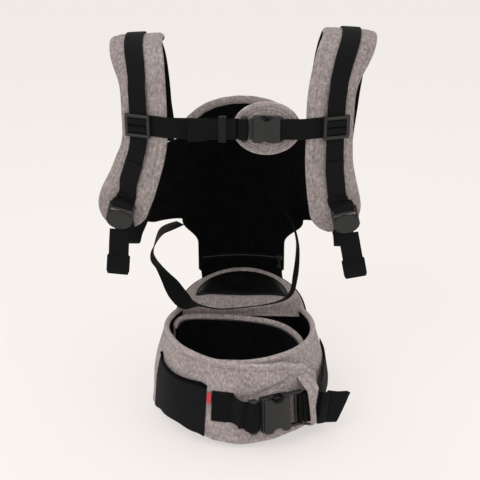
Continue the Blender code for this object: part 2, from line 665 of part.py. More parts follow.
# ---------------------------------------------------------------- side release buckles
def buckle(prefix, m, w, k):
    """Male on -X, female on +X. w is the webbing's width, k scales the length and thickness to the webbing."""
    W = w + 0.010                      # overall width
    T = 0.0140 * k
    cav, wall = 0.0046 * k, 0.0022 * k
    x0 = -0.016 * k                    # mouth of the female
    # female: a flat box open towards the male, with side windows, then two bars for the webbing
    hardware(
        f"{prefix}_buckle_female",
        [box((0.046 * k, T, W), (0.007 * k, 0, 0), 0.0022 * k),
         box((0.020 * k, 0.0075 * k, 0.0036), (0.037 * k, 0, W / 2 - 0.0026), 0.0008),
         box((0.020 * k, 0.0075 * k, 0.0036), (0.037 * k, 0, -W / 2 + 0.0026), 0.0008),
         rod(0.0018 * k, W - 0.004, (0.0360 * k, 0, 0), "Z", 8), rod(0.0025 * k, W - 0.004, (0.0445 * k, 0, 0), "Z", 8)],
        [box((0.036 * k, 2 * cav, W - 2 * wall - 0.0044), (x0 - 0.001 + 0.018 * k, 0, 0), 0.0),
         box((0.015 * k, 2 * cav, 0.016), (0.004 * k, 0, W / 2), 0.0),
         box((0.015 * k, 2 * cav, 0.016), (0.004 * k, 0, -W / 2), 0.0)],
        PLASTIC, m)
    inside = (W - 2 * wall - 0.0044) / 2
    # male: bar for the webbing, shoulder plate and centre guide
    hardware(
        f"{prefix}_buckle_male",
        [box((0.0130 * k, 0.0105 * k, W), (-0.0365 * k, 0, 0), 0.0030 * k),
         box((0.0170 * k, 0.0070 * k, W - 0.002), (-0.0250 * k, 0, 0), 0.0008),
         box((0.0300 * k, 0.0036 * k, 0.0090 * k), (-0.0040 * k, 0, 0), 0.0006)],
        [box((0.0048 * k, 0.0300, w + 0.0010), (-0.0275 * k, 0, 0), 0.0)],
        PLASTIC, m)
    # prongs: an arm and a finger pad each; they bend in about their roots
    for s, side in ((1, "upper"), (-1, "lower")):
        zr = inside - 0.0062 * k
        hardware(
            f"{prefix}_prong_{side}",
            [box((0.0220 * k, 0.0060 * k, 0.0032 * k), (-0.0050 * k, 0, s * zr), 0.0005),
             box((0.0120 * k, 0.0074 * k, 0.0070 * k), (0.0038 * k, 0, s * (inside - 0.0004 - 0.0035 * k)), 0.0012 * k)],
            [], PLASTIC, m)


chest_m = local_frame(Vector((CHEST_X, CHEST_Y, CHEST_Z)), (1, 0, 0), (0, 0, 1))
buckle("chest", chest_m, WEB_C, CHEST_K)

wp = ring(WAIST_T0, WAIST_Z)
wn = facing(WAIST_T0, WAIST_Z)
wz = (Matrix.Rotation(math.radians(-WAIST_TILT), 3, wn) @ rise(WAIST_T0, WAIST_Z)).normalized()
wx = wz.cross(-wn).normalized() * -1
if wx.x < 0:
    wx = -wx
wx = Matrix.Rotation(math.radians(6), 3, wz) @ wx
waist_m = local_frame(wp + wn * (OVERLAP_LIFT + WALL + 0.0016 + 0.0070), wx, wz)
buckle("waist", waist_m, WEB_W, 1.0)

# tail of the back strap's webbing, in front of it, hemmed at its end, with an elastic keeper
ct = Path([(-0.0010, CHEST_Y - 0.0036, CHEST_Z), (-0.012, CHEST_Y - 0.0036, CHEST_Z), (-0.035, CHEST_Y - 0.0034, CHEST_Z - 0.0005),
           (-0.050, CHEST_Y - 0.0038, CHEST_Z - 0.0012), (-0.069, CHEST_Y - 0.0044, CHEST_Z - 0.002)], [(0, 0, 1)] * 5)


def ct_f(u, v, k):
    p, b = ct.at(v)[:2]
    fat = smooth((v - 0.57) / 0.04)
    h = lerp(0.0006, 0.0019, fat) * (1 - 0.4 * smooth((v - 0.93) / 0.07))
    w = lerp(WEB_C - 0.001, 0.0315, fat)
    return p + b * (u - 0.5) * w + Vector((0, -h if k else h, 0))


slab("chest_tail", 2, 18, ct_f, WEB)
hardware("chest_keeper", [box((0.0110, 0.0094, 0.0370), (0, 0, 0), 0.0010)], [box((0.03, 0.0074, 0.0338), (0, 0, 0), 0.0)], WEB,
         Matrix.Translation((-0.0200, CHEST_Y - 0.0018, CHEST_Z)))


def oval(u, v):
    s, t = 2 * u - 1, 2 * v - 1
    return s * math.sqrt(1 - t * t / 2), t * math.sqrt(1 - s * s / 2)


def chest_pad(u, v, k):
    x, z = oval(u, v)
    r = math.hypot(x, z)
    h = 0.0040 * (1 - 0.55 * r ** 4)
    return Vector((0.0415 + x * 0.0465, CHEST_Y + 0.0125 + (-h if k else h), CHEST_Z - 0.0005 + z * 0.0390))


slab("chest_pad", 8, 8, chest_pad, GREY)


# ---------------------------------------------------------------- waist webbing
def on_belt(t, z, d):
    return ring(t, z, lift(t) + d)


ZW = WAIST_Z + 0.004
def at_waist(rows):
    return [waist_m @ Vector((x, y, 0)) for x, y in rows]


rz = rise(268, ZW)
wrap = at_waist([(-0.0560, 0.0062), (-0.0490, 0.0020), (-0.0455, -0.0030), (-0.0400, -0.0066), (-0.0330, -0.0066), (-0.0283, -0.0040),
                 (-0.0278, 0.0030)])
ts = (254.6, 258, 261, 264.8)
male = Path([on_belt(t, ZW, WALL + 0.0014) for t in ts] + [on_belt(267.5, ZW, WALL + 0.0026)] + wrap, [rz] * 5 + [wz] * 7)
ribbon("waist_webbing_short", male, WEB_W, -WEB_T / 2, WEB_T / 2, 22, WEB)

ts = (322, 333, 342, 352, 362, 374)
zs = (0.0540, 0.0580, 0.0640, 0.0700, 0.0760, 0.0800)
ds = (0.0270, 0.0190, 0.0100, 0.0075, 0.0065, 0.0060)
wrap = at_waist([(0.0402, 0.0020), (0.0410, -0.0036), (0.0445, -0.0044), (0.0484, -0.0012), (0.0530, 0.0022)])
long_path = Path(wrap + [ring(t, z, d) for t, z, d in zip(ts, zs, ds)], [wz] * 5 + [rise(t, z) for t, z in zip(ts, zs)])
ribbon("waist_webbing_long", long_path, WEB_W, -WEB_T / 2, WEB_T / 2, 30, WEB)

w_a, w_b = at_waist([(0.0470, -0.0064), (0.0570, -0.0034)])
wt = Path([w_a, w_b, ring(319.5, 0.053, 0.0330), Vector((0.1500, -0.0790, 0.0480)), Vector((0.1760, -0.0700, 0.0450))],
          [wz, wz, wz, (0, 0, 1), (0, 0, 1)])


def wt_f(u, v, k):
    p, b = wt.at(v)[:2]
    t = wt.tangent(v)
    b = (b - t * b.dot(t)).normalized()
    n = b.cross(t)
    fat = smooth((v - 0.50) / 0.06)
    h = lerp(0.0008, 0.0030, fat) * (1 - 0.5 * smooth((v - 0.94) / 0.06))
    w = WEB_W * lerp(0.98, 1.06, fat)
    lo = -0.5 + 0.24 * smooth((v - 0.72) / 0.28)
    return p + b * lerp(lo, 0.5, u) * w + n * (h if k else -h)


slab("waist_tail", 2, 14, wt_f, WEB)


# fabric loop near the left wing's tip, that the adjusting webbing and its tail run under
def loop_f(u, v, k):
    z = lerp(0.006, 0.106, v)
    bulge = smooth((z - 0.006) / 0.014) * smooth((0.106 - z) / 0.020)
    t = lerp(314.6, 321.2, u)
    return ring(t, z, lift(t) + WALL + 0.0006 + 0.0230 * bulge + (0.0014 if k else 0.0))


slab("webbing_loop", 2, 16, loop_f, GREY)


# ---------------------------------------------------------------- safety strap: a twisted loop from wing to wing over the seat's edge
saf = [((-0.1060, 0.1350, 0.2705), (-0.25, 0.90, -0.10)), ((-0.1336, 0.1180, 0.2621), (-0.10, 0.98, 0.05)), ((-0.1475, 0.1000, 0.2401), (0.0, 1.0, -0.05)),
       ((-0.1486, 0.0900, 0.2242), (0.08, 0.98, -0.18)), ((-0.1399, 0.0870, 0.2106), (0.18, 0.93, -0.30)), ((-0.1285, 0.0830, 0.1945), (0.38, 0.90, -0.20)),
       ((-0.1169, 0.0780, 0.1793), (0.61, 0.74, 0.0)), ((-0.1062, 0.0720, 0.1655), (0.73, 0.66, 0.06)), ((-0.0920, 0.0655, 0.1545), (0.60, 0.74, 0.10)),
       ((-0.0700, 0.0655, 0.1492), (0.20, 0.95, -0.12)), ((-0.0418, 0.0655, 0.1432), (0.0, 0.95, -0.22)), ((-0.0158, 0.0655, 0.1440), (0.0, 0.95, -0.24)),
       ((0.0358, 0.0680, 0.1500), (0.0, 0.95, -0.24)), ((0.0694, 0.0750, 0.1560), (-0.06, 0.97, -0.14)), ((0.0855, 0.0850, 0.1672), (-0.14, 0.97, -0.06)),
       ((0.0912, 0.0950, 0.1910), (-0.16, 0.98, 0.0)), ((0.0945, 0.1080, 0.2201), (-0.14, 0.98, 0.02)), ((0.0940, 0.1170, 0.2460), (-0.14, 0.98, 0.06)),
       ((0.0864, 0.1310, 0.2700), (-0.22, 0.95, 0.10)), ((0.0700, 0.1560, 0.2900), (-0.25, 0.92, 0.15))]
saf_path = Path([p for p, _ in saf], [w for _, w in saf], steps=10)
ribbon("safety_strap", saf_path, 0.034, -WEB_T / 2, WEB_T / 2, 44, WEB, nu=1)

# ---------------------------------------------------------------- each moving piece hangs from an empty on its joint's axis
bpy.context.view_layer.update()


def pivot(name, pos, nodes):
    empty = bpy.data.objects.new(name, None)
    empty.empty_display_size = 0.01
    empty.location = pos
    parts.objects.link(empty)
    bpy.context.view_layer.update()
    for node in nodes:
        child = bpy.data.objects[node]
        world = child.matrix_world.copy()
        child.parent = empty
        child.matrix_parent_inverse = empty.matrix_world.inverted()
        child.matrix_world = world
    return empty


PANEL_NODES = [o.name for o in parts.objects if o.name.startswith(("panel_", "wing_", "shoulder_", "lower_")) and "tail" not in o.name]
pivot("axis_panel_fold", (0, HINGE_Y, HINGE_Z), PANEL_NODES)
pivot("axis_headrest_fold", (0, 0.1895, 0.4302), ["headrest_pad", "headrest_roll"])
pivot("axis_zip_slide", (0, 0.019, ZIP_Z), ["zip_slider"])
for side, lock, tilt, lean in (("left", Vector((-0.1735, -0.0765, 0.3640)), 14, 5), ("right", Vector((0.1590, -0.0765, 0.3620)), -13, -12)):
    a, b = math.radians(tilt), math.radians(lean)
    pivot(f"axis_ladder_{side}", lock + Vector((math.sin(a), 0, math.cos(a))) * 0.0180, [f"ladder_lock_{side}"])
    pivot(f"axis_tail_{side}", lock + Vector((-math.sin(b) * 0.0225, 0.0030, -0.0222)), [f"shoulder_tail_{side}"])
pivot("axis_chest_height", (0, CHEST_Y, CHEST_Z), ["chest_slider_left", "chest_slider_right", "chest_webbing_left", "chest_webbing_right",
                                                  "chest_buckle_male", "chest_tail", "chest_pad"])
pivot("axis_chest_release", (CHEST_X, CHEST_Y, CHEST_Z), ["chest_buckle_female"])
pivot("axis_chest_keeper", (-0.0200, CHEST_Y, CHEST_Z), ["chest_keeper"])
pivot("axis_waist_release", waist_m.translation, ["waist_buckle_male"])
for prefix, m, w, k in (("chest", chest_m, WEB_C, CHEST_K), ("waist", waist_m, WEB_W, 1.0)):
    zr = (w + 0.010 - 0.0044 * k - 0.0044) / 2 - 0.0062 * k
    for sign, side in ((1, "upper"), (-1, "lower")):
        pivot(f"axis_{prefix}_prong_{side}", m @ Vector((-0.016 * k, 0, sign * zr)), [f"{prefix}_prong_{side}"])
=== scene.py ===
import math

import bmesh
import bpy
from mathutils import Matrix, Vector, noise


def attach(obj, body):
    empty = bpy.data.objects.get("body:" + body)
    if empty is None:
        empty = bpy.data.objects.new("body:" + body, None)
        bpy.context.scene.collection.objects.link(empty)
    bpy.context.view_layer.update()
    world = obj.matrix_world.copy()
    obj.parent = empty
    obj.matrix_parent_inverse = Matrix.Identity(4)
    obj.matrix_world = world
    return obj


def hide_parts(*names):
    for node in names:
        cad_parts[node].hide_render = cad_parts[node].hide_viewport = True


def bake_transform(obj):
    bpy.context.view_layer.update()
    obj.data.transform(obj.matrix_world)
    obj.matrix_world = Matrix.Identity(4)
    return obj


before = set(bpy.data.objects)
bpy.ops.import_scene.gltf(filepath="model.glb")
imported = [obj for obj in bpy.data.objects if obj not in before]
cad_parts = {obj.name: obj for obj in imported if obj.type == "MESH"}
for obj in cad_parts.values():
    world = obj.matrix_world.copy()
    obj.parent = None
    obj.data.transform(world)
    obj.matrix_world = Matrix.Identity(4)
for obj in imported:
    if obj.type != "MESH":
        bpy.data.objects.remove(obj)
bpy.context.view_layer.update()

# ------------------------------------------------------------------ dimensions shared with the model
BELT_A_BOTTOM, BELT_A_TOP = 0.142, 0.117
BELT_N_BOTTOM, BELT_N_TOP = 0.132, 0.112
BELT_F = 0.1215
BELT_YC = 0.012
BELT_H = 0.142
WALL = 0.0040
OVERLAP_LIFT = 0.0118
SEAT_Y0, SEAT_Y1, SEAT_HW = 0.0800, 0.2150, 0.1100
SEAT_Z0, SEAT_SLOPE = 0.130, 0.195
SEAT_FOOT = 0.034
SKIN_S = 0.0015
NECK_HW, PANEL_HW, WING_HW = 0.0735, 0.100, 0.160
PANEL_Z0, NECK_Z1, PANEL_Z1, HEAD_Z1 = 0.150, 0.205, 0.430, 0.482
ZIP_Z = 0.178
PAD_W, WEB_S, WEB_C, WEB_W, WEB_T = 0.080, 0.030, 0.030, 0.050, 0.0015
CHEST_Z = 0.505
CHEST_X, CHEST_Y, CHEST_K = 0.0340, -0.0985, 0.66
WAIST_T0, WAIST_Z, WAIST_TILT = 292.5, 0.058, 2.0


# ------------------------------------------------------------------ camera, light and floor
def camera():
    target, dist, az, el = Vector((0, 0.03, 0.284)), 1.6, math.radians(2.0), math.radians(22.5)
    data = bpy.data.cameras.new("camera")
    data.lens, data.sensor_width, data.clip_start = 75, 36, 0.01
    ob = bpy.data.objects.new("camera", data)
    bpy.context.scene.collection.objects.link(ob)
    ob.location = target + dist * Vector((math.sin(az) * math.cos(el), -math.cos(az) * math.cos(el), math.sin(el)))
    ob.rotation_euler = (target - ob.location).to_track_quat("-Z", "Y").to_euler()
    bpy.context.scene.camera = ob


def area(name, loc, target, size, watts):
    data = bpy.data.lights.new(name, "AREA")
    data.energy, data.size = watts, size
    ob = bpy.data.objects.new(name, data)
    bpy.context.scene.collection.objects.link(ob)
    ob.location = loc
    ob.rotation_euler = (Vector(target) - Vector(loc)).to_track_quat("-Z", "Y").to_euler()


camera()
area("key", (-0.9, -1.3, 1.7), (0, 0, 0.3), 1.3, 13)
area("fill", (1.5, -0.9, 0.9), (0, 0, 0.3), 1.4, 4)
area("top", (0.0, 0.5, 1.9), (0, 0.05, 0.2), 1.2, 3)
world = bpy.data.worlds.new("studio")
bpy.context.scene.world = world
world.use_nodes = True
world.node_tree.nodes["Background"].inputs[0].default_value = (0.905, 0.870, 0.845, 1)
world.node_tree.nodes["Background"].inputs[1].default_value = 0.98
bpy.context.scene.view_settings.view_transform = "Standard"


# ------------------------------------------------------------------ materials
class Nodes:
    """A few helpers to write a node tree in order."""

    def __init__(self, name):
        self.m = bpy.data.materials.new(name)
        self.m.use_nodes = True
        self.t = self.m.node_tree
        self.b = self.t.nodes["Principled BSDF"]
        self.uv = self.t.nodes.new("ShaderNodeTexCoord").outputs["UV"]

    def link(self, a, b):
        self.t.links.new(a, b)

    def mapped(self, sx, sy, rot=0.0):
        n = self.t.nodes.new("ShaderNodeMapping")
        n.inputs["Scale"].default_value = (sx, sy, 1)
        n.inputs["Rotation"].default_value = (0, 0, rot)
        self.link(self.uv, n.inputs["Vector"])
        return n.outputs[0]

    def noise(self, vec, scale=1.0, detail=2.0, rough=0.5):
        n = self.t.nodes.new("ShaderNodeTexNoise")
        n.inputs["Scale"].default_value = scale
        n.inputs["Detail"].default_value = detail
        n.inputs["Roughness"].default_value = rough
        self.link(vec, n.inputs["Vector"])
        return n.outputs["Fac"]

    def voronoi(self, vec, scale=1.0, feature="F1"):
        n = self.t.nodes.new("ShaderNodeTexVoronoi")
        n.feature = feature
        n.inputs["Scale"].default_value = scale
        self.link(vec, n.inputs["Vector"])
        return n.outputs["Distance"]

    def math(self, op, a, b=None):
        n = self.t.nodes.new("ShaderNodeMath")
        n.operation = op
        for i, x in enumerate((a, b)):
            if x is None:
                continue
            if isinstance(x, (int, float)):
                n.inputs[i].default_value = x
            else:
                self.link(x, n.inputs[i])
        return n.outputs[0]

    def axes(self):
        n = self.t.nodes.new("ShaderNodeSeparateXYZ")
        self.link(self.uv, n.inputs[0])
        return n.outputs[0], n.outputs[1]

    def wave(self, x, period):
        return self.math("SINE", self.math("MULTIPLY", x, 2 * math.pi / period))

    def ramp(self, fac, stops):
        n = self.t.nodes.new("ShaderNodeValToRGB")
        r = n.color_ramp
        while len(r.elements) < len(stops):
            r.elements.new(0.5)
        for e, (p, c) in zip(r.elements, stops):
            e.position, e.color = p, (*c, 1)
        self.link(fac, n.inputs[0])
        return n.outputs[0]

    def mix(self, a, b, fac, kind="MULTIPLY"):
        n = self.t.nodes.new("ShaderNodeMix")
        n.data_type, n.blend_type = "RGBA", kind
        if isinstance(fac, (int, float)):
            n.inputs[0].default_value = fac
        else:
            self.link(fac, n.inputs[0])
        self.link(a, n.inputs[6])
        self.link(b, n.inputs[7])
        return n.outputs[2]

    def bump(self, height, strength, distance, below=None):
        n = self.t.nodes.new("ShaderNodeBump")
        n.inputs["Strength"].default_value = strength
        n.inputs["Distance"].default_value = distance
        self.link(height, n.inputs["Height"])
        if below is not None:
            self.link(below, n.inputs["Normal"])
        return n.outputs[0]

    def done(self, color=None, rough=None, normal=None, sheen=0.0, plain=None, coat=0.0, spec=0.5):
        if color is not None:
            self.link(color, self.b.inputs["Base Color"])
        if plain is not None:
            self.b.inputs["Base Color"].default_value = (*plain, 1)
        if isinstance(rough, (int, float)):
            self.b.inputs["Roughness"].default_value = rough
        elif rough is not None:
            self.link(rough, self.b.inputs["Roughness"])
        if normal is not None:
            self.link(normal, self.b.inputs["Normal"])
        self.b.inputs["Sheen Weight"].default_value = sheen
        self.b.inputs["Sheen Roughness"].default_value = 0.6
        self.b.inputs["Coat Weight"].default_value = coat
        self.b.inputs["Specular IOR Level"].default_value = spec
        return self.m


def melange(name, gain=1.0):
    n = Nodes(name)
    warp = n.noise(n.mapped(520, 1700), 1.0, 3, 0.6)
    weft = n.noise(n.mapped(1700, 520), 1.0, 3, 0.6)
    blotch = n.noise(n.mapped(230, 150), 1.0, 2, 0.6)
    cloud = n.noise(n.mapped(26, 26), 1.0, 2, 0.5)
    fac = n.math("ADD", n.math("MULTIPLY", n.math("ADD", warp, weft), 0.33), n.math("MULTIPLY", blotch, 0.34))
    g = gain
    base = n.ramp(fac, [(0.36, (0.110 * g, 0.094 * g, 0.092 * g)), (0.46, (0.262 * g, 0.226 * g, 0.221 * g)),
                        (0.54, (0.392 * g, 0.344 * g, 0.338 * g)), (0.64, (0.640 * g, 0.575 * g, 0.565 * g))])
    tint = n.ramp(cloud, [(0.3, (0.90, 0.89, 0.89)), (0.7, (1.08, 1.07, 1.06))])
    color = n.mix(base, tint, 1.0)
    u, v = n.axes()
    weave = n.math("MULTIPLY", n.wave(u, 0.0013), n.wave(v, 0.0013))
    fuzz = n.noise(n.mapped(2600, 2600), 1.0, 2)
    b1 = n.bump(weave, 0.55, 0.00025)
    b2 = n.bump(fuzz, 0.5, 0.00025, b1)
    b3 = n.bump(cloud, 0.5, 0.0018, b2)
    return n.done(color, 0.94, b3, sheen=0.10, spec=0.12)


def webbing(name, level=1.0):
    n = Nodes(name)
    u, v = n.axes()
    zig = n.math("ABSOLUTE", n.math("SUBTRACT", n.math("FRACT", n.math("MULTIPLY", u, 1 / 0.0060)), 0.5))
    rib = n.wave(n.math("ADD", v, n.math("MULTIPLY", zig, 0.0030)), 0.0021)
    thread = n.wave(u, 0.0010)
    grain = n.noise(n.mapped(900, 900), 1.0, 3)
    color = n.ramp(n.math("ADD", n.math("MULTIPLY", rib, 0.22), grain),
                   [(0.30, (0.0014 * level, 0.0015 * level, 0.0016 * level)), (0.75, (0.0078 * level, 0.0084 * level, 0.0087 * level))])
    b1 = n.bump(rib, 0.7, 0.00035)
    b2 = n.bump(thread, 0.4, 0.00015, b1)
    return n.done(color, 0.74, b2, sheen=0.010, spec=0.085)


def mesh_fabric(name, level=1.0, pitch=0.0026):
    n = Nodes(name)
    holes = n.voronoi(n.mapped(1 / pitch, 1.25 / pitch), 1.0)
    # The cloudy tone mixed into the colour below stands in for the faint sheen and shade across the fabric's folds:
    # painted sheen and shade, on top of the holes' own pattern.
    cloud = n.noise(n.mapped(35, 35), 1.0, 2)
    color = n.ramp(n.math("ADD", n.math("MULTIPLY", holes, 0.6), n.math("MULTIPLY", cloud, 0.60)),
                   [(0.30, (0.0004 * level, 0.0004 * level, 0.0005 * level)), (0.85, (0.0042 * level, 0.0042 * level, 0.0044 * level))])
    b1 = n.bump(holes, 0.6, 0.0004)
    b2 = n.bump(cloud, 0.5, 0.002, b1)
    return n.done(color, 0.9, b2, sheen=0.006, spec=0.035)


def knit(name):
    n = Nodes(name)
    u, v = n.axes()
    rib = n.wave(u, 0.0030)
    stitch = n.wave(n.math("ADD", v, n.math("MULTIPLY", n.math("ABSOLUTE", rib), 0.0008)), 0.0022)
    grain = n.noise(n.mapped(700, 700), 1.0, 3)
    f = n.math("ADD", n.math("MULTIPLY", n.math("ADD", rib, stitch), 0.08), grain)
    color = n.ramp(f, [(0.25, (0.0030, 0.0030, 0.0036)), (0.85, (0.0125, 0.0125, 0.0145))])
    b1 = n.bump(rib, 0.5, 0.0004)
    b2 = n.bump(stitch, 0.4, 0.0002, b1)
    return n.done(color, 0.9, b2, sheen=0.02, spec=0.08)


def leatherette(name):
    n = Nodes(name)
    pebble = n.voronoi(n.mapped(620, 620), 1.0)
    fine = n.noise(n.mapped(1500, 1500), 1.0, 3)
    wear = n.noise(n.mapped(30, 30), 1.0, 3)
    color = n.ramp(wear, [(0.3, (0.0016, 0.0016, 0.0017)), (0.75, (0.0048, 0.0049, 0.0050))])
    b1 = n.bump(pebble, 0.5, 0.0004)
    b2 = n.bump(fine, 0.3, 0.0002, b1)
    rough = n.math("ADD", n.math("MULTIPLY", wear, 0.20), 0.34)
    return n.done(color, rough, b2, spec=0.24)


def plastic(name, level=1.0, rough=0.36):
    n = Nodes(name)
    obj = n.t.nodes.new("ShaderNodeTexCoord").outputs["Object"]
    n.uv = obj
    grain = n.noise(obj, 1800, 2)
    cloud = n.noise(obj, 55, 2)
    color = n.ramp(cloud, [(0.3, (0.0085 * level, 0.0092 * level, 0.0090 * level)), (0.7, (0.0135 * level, 0.0146 * level, 0.0142 * level))])
    b1 = n.bump(grain, 0.35, 0.00012)
    r = n.math("ADD", n.math("MULTIPLY", cloud, 0.14), rough - 0.06)
    return n.done(color, r, b1, spec=0.42)


def thread(name, color):
    """Sewing thread, with its twist and a little unevenness."""
    n = Nodes(name)
    obj = n.t.nodes.new("ShaderNodeTexCoord").outputs["Object"]
    fine = n.noise(obj, 2400, 2)
    cloud = n.noise(obj, 300, 2)
    f = n.math("ADD", n.math("MULTIPLY", fine, 0.6), n.math("MULTIPLY", cloud, 0.4))
    dark, light = tuple(c * 0.70 for c in color), tuple(c * 1.25 for c in color)
    return n.done(n.ramp(f, [(0.35, dark), (0.65, light)]), 0.8, n.bump(fine, 0.5, 0.0002), sheen=0.03, spec=0.12)


def tag_cloth(name, a, b):
    n = Nodes(name)
    u, v = n.axes()
    weave = n.math("MULTIPLY", n.wave(u, 0.0007), n.wave(v, 0.0007))
    grain = n.noise(n.mapped(1200, 1200), 1.0, 2)
    return n.done(n.ramp(grain, [(0.3, a), (0.7, b)]), 0.75, n.bump(weave, 0.5, 0.0002), sheen=0.2)


GREY = melange("grey_melange")
GREY_STRAP = melange("grey_melange_strap", 0.86)
WEB = webbing("black_webbing")
WEB_HEM = webbing("black_webbing_hem", 1.15)
LINING = mesh_fabric("black_mesh_lining")
CLOTH = mesh_fabric("black_cloth_binding", 1.2, 0.0010)
KNIT = knit("black_rib_knit")
GRIP = leatherette("black_leatherette")
PLASTIC = plastic("black_acetal", 0.74)
GREY_THREAD = thread("grey_thread", (0.24, 0.215, 0.205))
ZIP_THREAD = thread("zip_thread", (0.060, 0.056, 0.054))
BLACK_THREAD = thread("black_thread", (0.009, 0.0095, 0.010))
# Piping: the same grey melange, brightened by 12% as a painted highlight along the lit rims and edges it trims.
PIPE_PAINTED_HIGHLIGHT = melange("grey_piping", 1.12)
TAG = tag_cloth("red_tag", (0.42, 0.006, 0.018), (0.66, 0.016, 0.036))
FLOOR = bpy.data.materials.new("floor")
FLOOR.use_nodes = True
FLOOR.node_tree.nodes["Principled BSDF"].inputs["Base Color"].default_value = (0.40, 0.385, 0.375, 1)
FLOOR.node_tree.nodes["Principled BSDF"].inputs["Emission Color"].default_value = (0.905, 0.871, 0.847, 1)
FLOOR.node_tree.nodes["Principled BSDF"].inputs["Emission Strength"].default_value = 0.57
FLOOR.node_tree.nodes["Principled BSDF"].inputs["Specular IOR Level"].default_value = 0.0
FLOOR.node_tree.nodes["Principled BSDF"].inputs["Roughness"].default_value = 0.95


# ------------------------------------------------------------------ small maths
def clamp(t, lo=0.0, hi=1.0):
    return max(lo, min(hi, t))


def lerp(a, b, t):
    return a + (b - a) * t


def smooth(t):
    t = clamp(t)
    return t * t * (3 - 2 * t)


def table(rows, x):
    if x <= rows[0][0]:
        return rows[0][1]
    for (x0, y0), (x1, y1) in zip(rows, rows[1:]):
        if x <= x1:
            return lerp(y0, y1, smooth((x - x0) / (x1 - x0)))
    return rows[-1][1]


def crown(t, p=4.0):
    """1 across the middle, falling round to 0 at t = 0 and 1."""
    return max(0.0, 1 - abs(2 * clamp(t) - 1) ** p) ** 0.5


def bell(x, w):
    return math.exp(-(x / w) ** 2)


def spread(u):
    """Grid share moved towards both edges, so that rounded edges get enough points."""
    return 0.5 - 0.5 * math.cos(math.pi * u) if 0 < u < 1 else float(u)


class Path:
    def __init__(self, points, *tracks, steps=16):
        rows = [[Vector(p)] + [Vector(t[i]) for t in tracks] for i, p in enumerate(points)]
        n = len(rows)
        dense = []
        for i in range(n - 1):
            a, b = rows[max(i - 1, 0)], rows[i]
            c, d = rows[i + 1], rows[min(i + 2, n - 1)]
            for k in range(steps):
                t = k / steps
                dense.append([self._cr(a[j], b[j], c[j], d[j], t) for j in range(len(b))])
        dense.append(rows[-1])
        self.rows = dense
        self.cum = [0.0]
        for p, q in zip(dense, dense[1:]):
            self.cum.append(self.cum[-1] + (q[0] - p[0]).length)
        self.length = self.cum[-1]

    @staticmethod
    def _cr(a, b, c, d, t):
        return 0.5 * ((2 * b) + (c - a) * t + (2 * a - 5 * b + 4 * c - d) * t * t + (3 * b - a - 3 * c + d) * t ** 3)

    def at(self, s):
        want = clamp(s) * self.length
        lo, hi = 0, len(self.cum) - 1
        while hi - lo > 1:
            mid = (lo + hi) // 2
            if self.cum[mid] <= want:
                lo = mid
            else:
                hi = mid
        span = self.cum[hi] - self.cum[lo]
        t = 0 if span < 1e-12 else (want - self.cum[lo]) / span
        return [p.lerp(q, t) for p, q in zip(self.rows[lo], self.rows[hi])]

    def pos(self, s):
        return self.at(s)[0]

    def tangent(self, s, e=0.012):
        return (self.pos(min(1, s + e)) - self.pos(max(0, s - e))).normalized()


# ------------------------------------------------------------------ builders
visual = bpy.data.collections.new("visual")
bpy.context.scene.collection.children.link(visual)


def place(ob, body, replaces=(), mat=None):
    if ob.name not in visual.objects:
        visual.objects.link(ob)
    if mat:
        ob.data.materials.clear()
        ob.data.materials.append(mat)
    if body:
        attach(ob, body)
    if replaces:
        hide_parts(*replaces)
    return ob


def close(bm):
    bmesh.ops.recalc_face_normals(bm, faces=bm.faces)
    if bm.calc_volume(signed=True) < 0:
        bmesh.ops.reverse_faces(bm, faces=bm.faces)


def slab(name, nu, nv, f, mats, size, body, replaces=(), pick=None, sub=0, us=None, vs=None, sharp=None):
    """A sheet with thickness. f(u, v, side) gives its points, side 1 outside. size is its width and length in metres, for the cloth's scale."""
    mats = mats if isinstance(mats, (list, tuple)) else [mats]
    bm = bmesh.new()
    bmesh.ops.create_grid(bm, x_segments=nu, y_segments=nv, size=0.5)
    made = bmesh.ops.extrude_face_region(bm, geom=bm.faces[:], use_keep_orig=True)
    top = {v for v in made["geom"] if isinstance(v, bmesh.types.BMVert)}
    uv = bm.loops.layers.uv.new("UVMap")
    where = {}
    for v in bm.verts:
        a, b = clamp(v.co.x + 0.5), clamp(v.co.y + 0.5)
        a = us(a) if us else a
        b = vs(b) if vs else b
        where[v] = (a, b, 1 if v in top else 0)
    for face in bm.faces:
        sides = {where[v][2] for v in face.verts}
        uc = sum(where[v][0] for v in face.verts) / len(face.verts)
        vc = sum(where[v][1] for v in face.verts) / len(face.verts)
        side = 1 if sides == {1} else 0 if sides == {0} else 2
        face.material_index = pick(uc, vc, side) if pick else (0 if side or len(mats) == 1 else 1)
        face.smooth = True
        for loop in face.loops:
            a, b, k = where[loop.vert]
            loop[uv].uv = (a * size[0] + (0.002 if side == 2 and k else 0), b * size[1])
    for v, (a, b, k) in where.items():
        v.co = f(a, b, k)
    close(bm)
    me = bpy.data.meshes.new(name)
    bm.to_mesh(me)
    bm.free()
    for m in mats:
        me.materials.append(m)
    if sharp:
        me.set_sharp_from_angle(angle=math.radians(sharp))
    ob = bpy.data.objects.new(name, me)
    if sub:
        s = ob.modifiers.new("smooth", "SUBSURF")
        s.levels = s.render_levels = sub
    return place(ob, body, replaces)


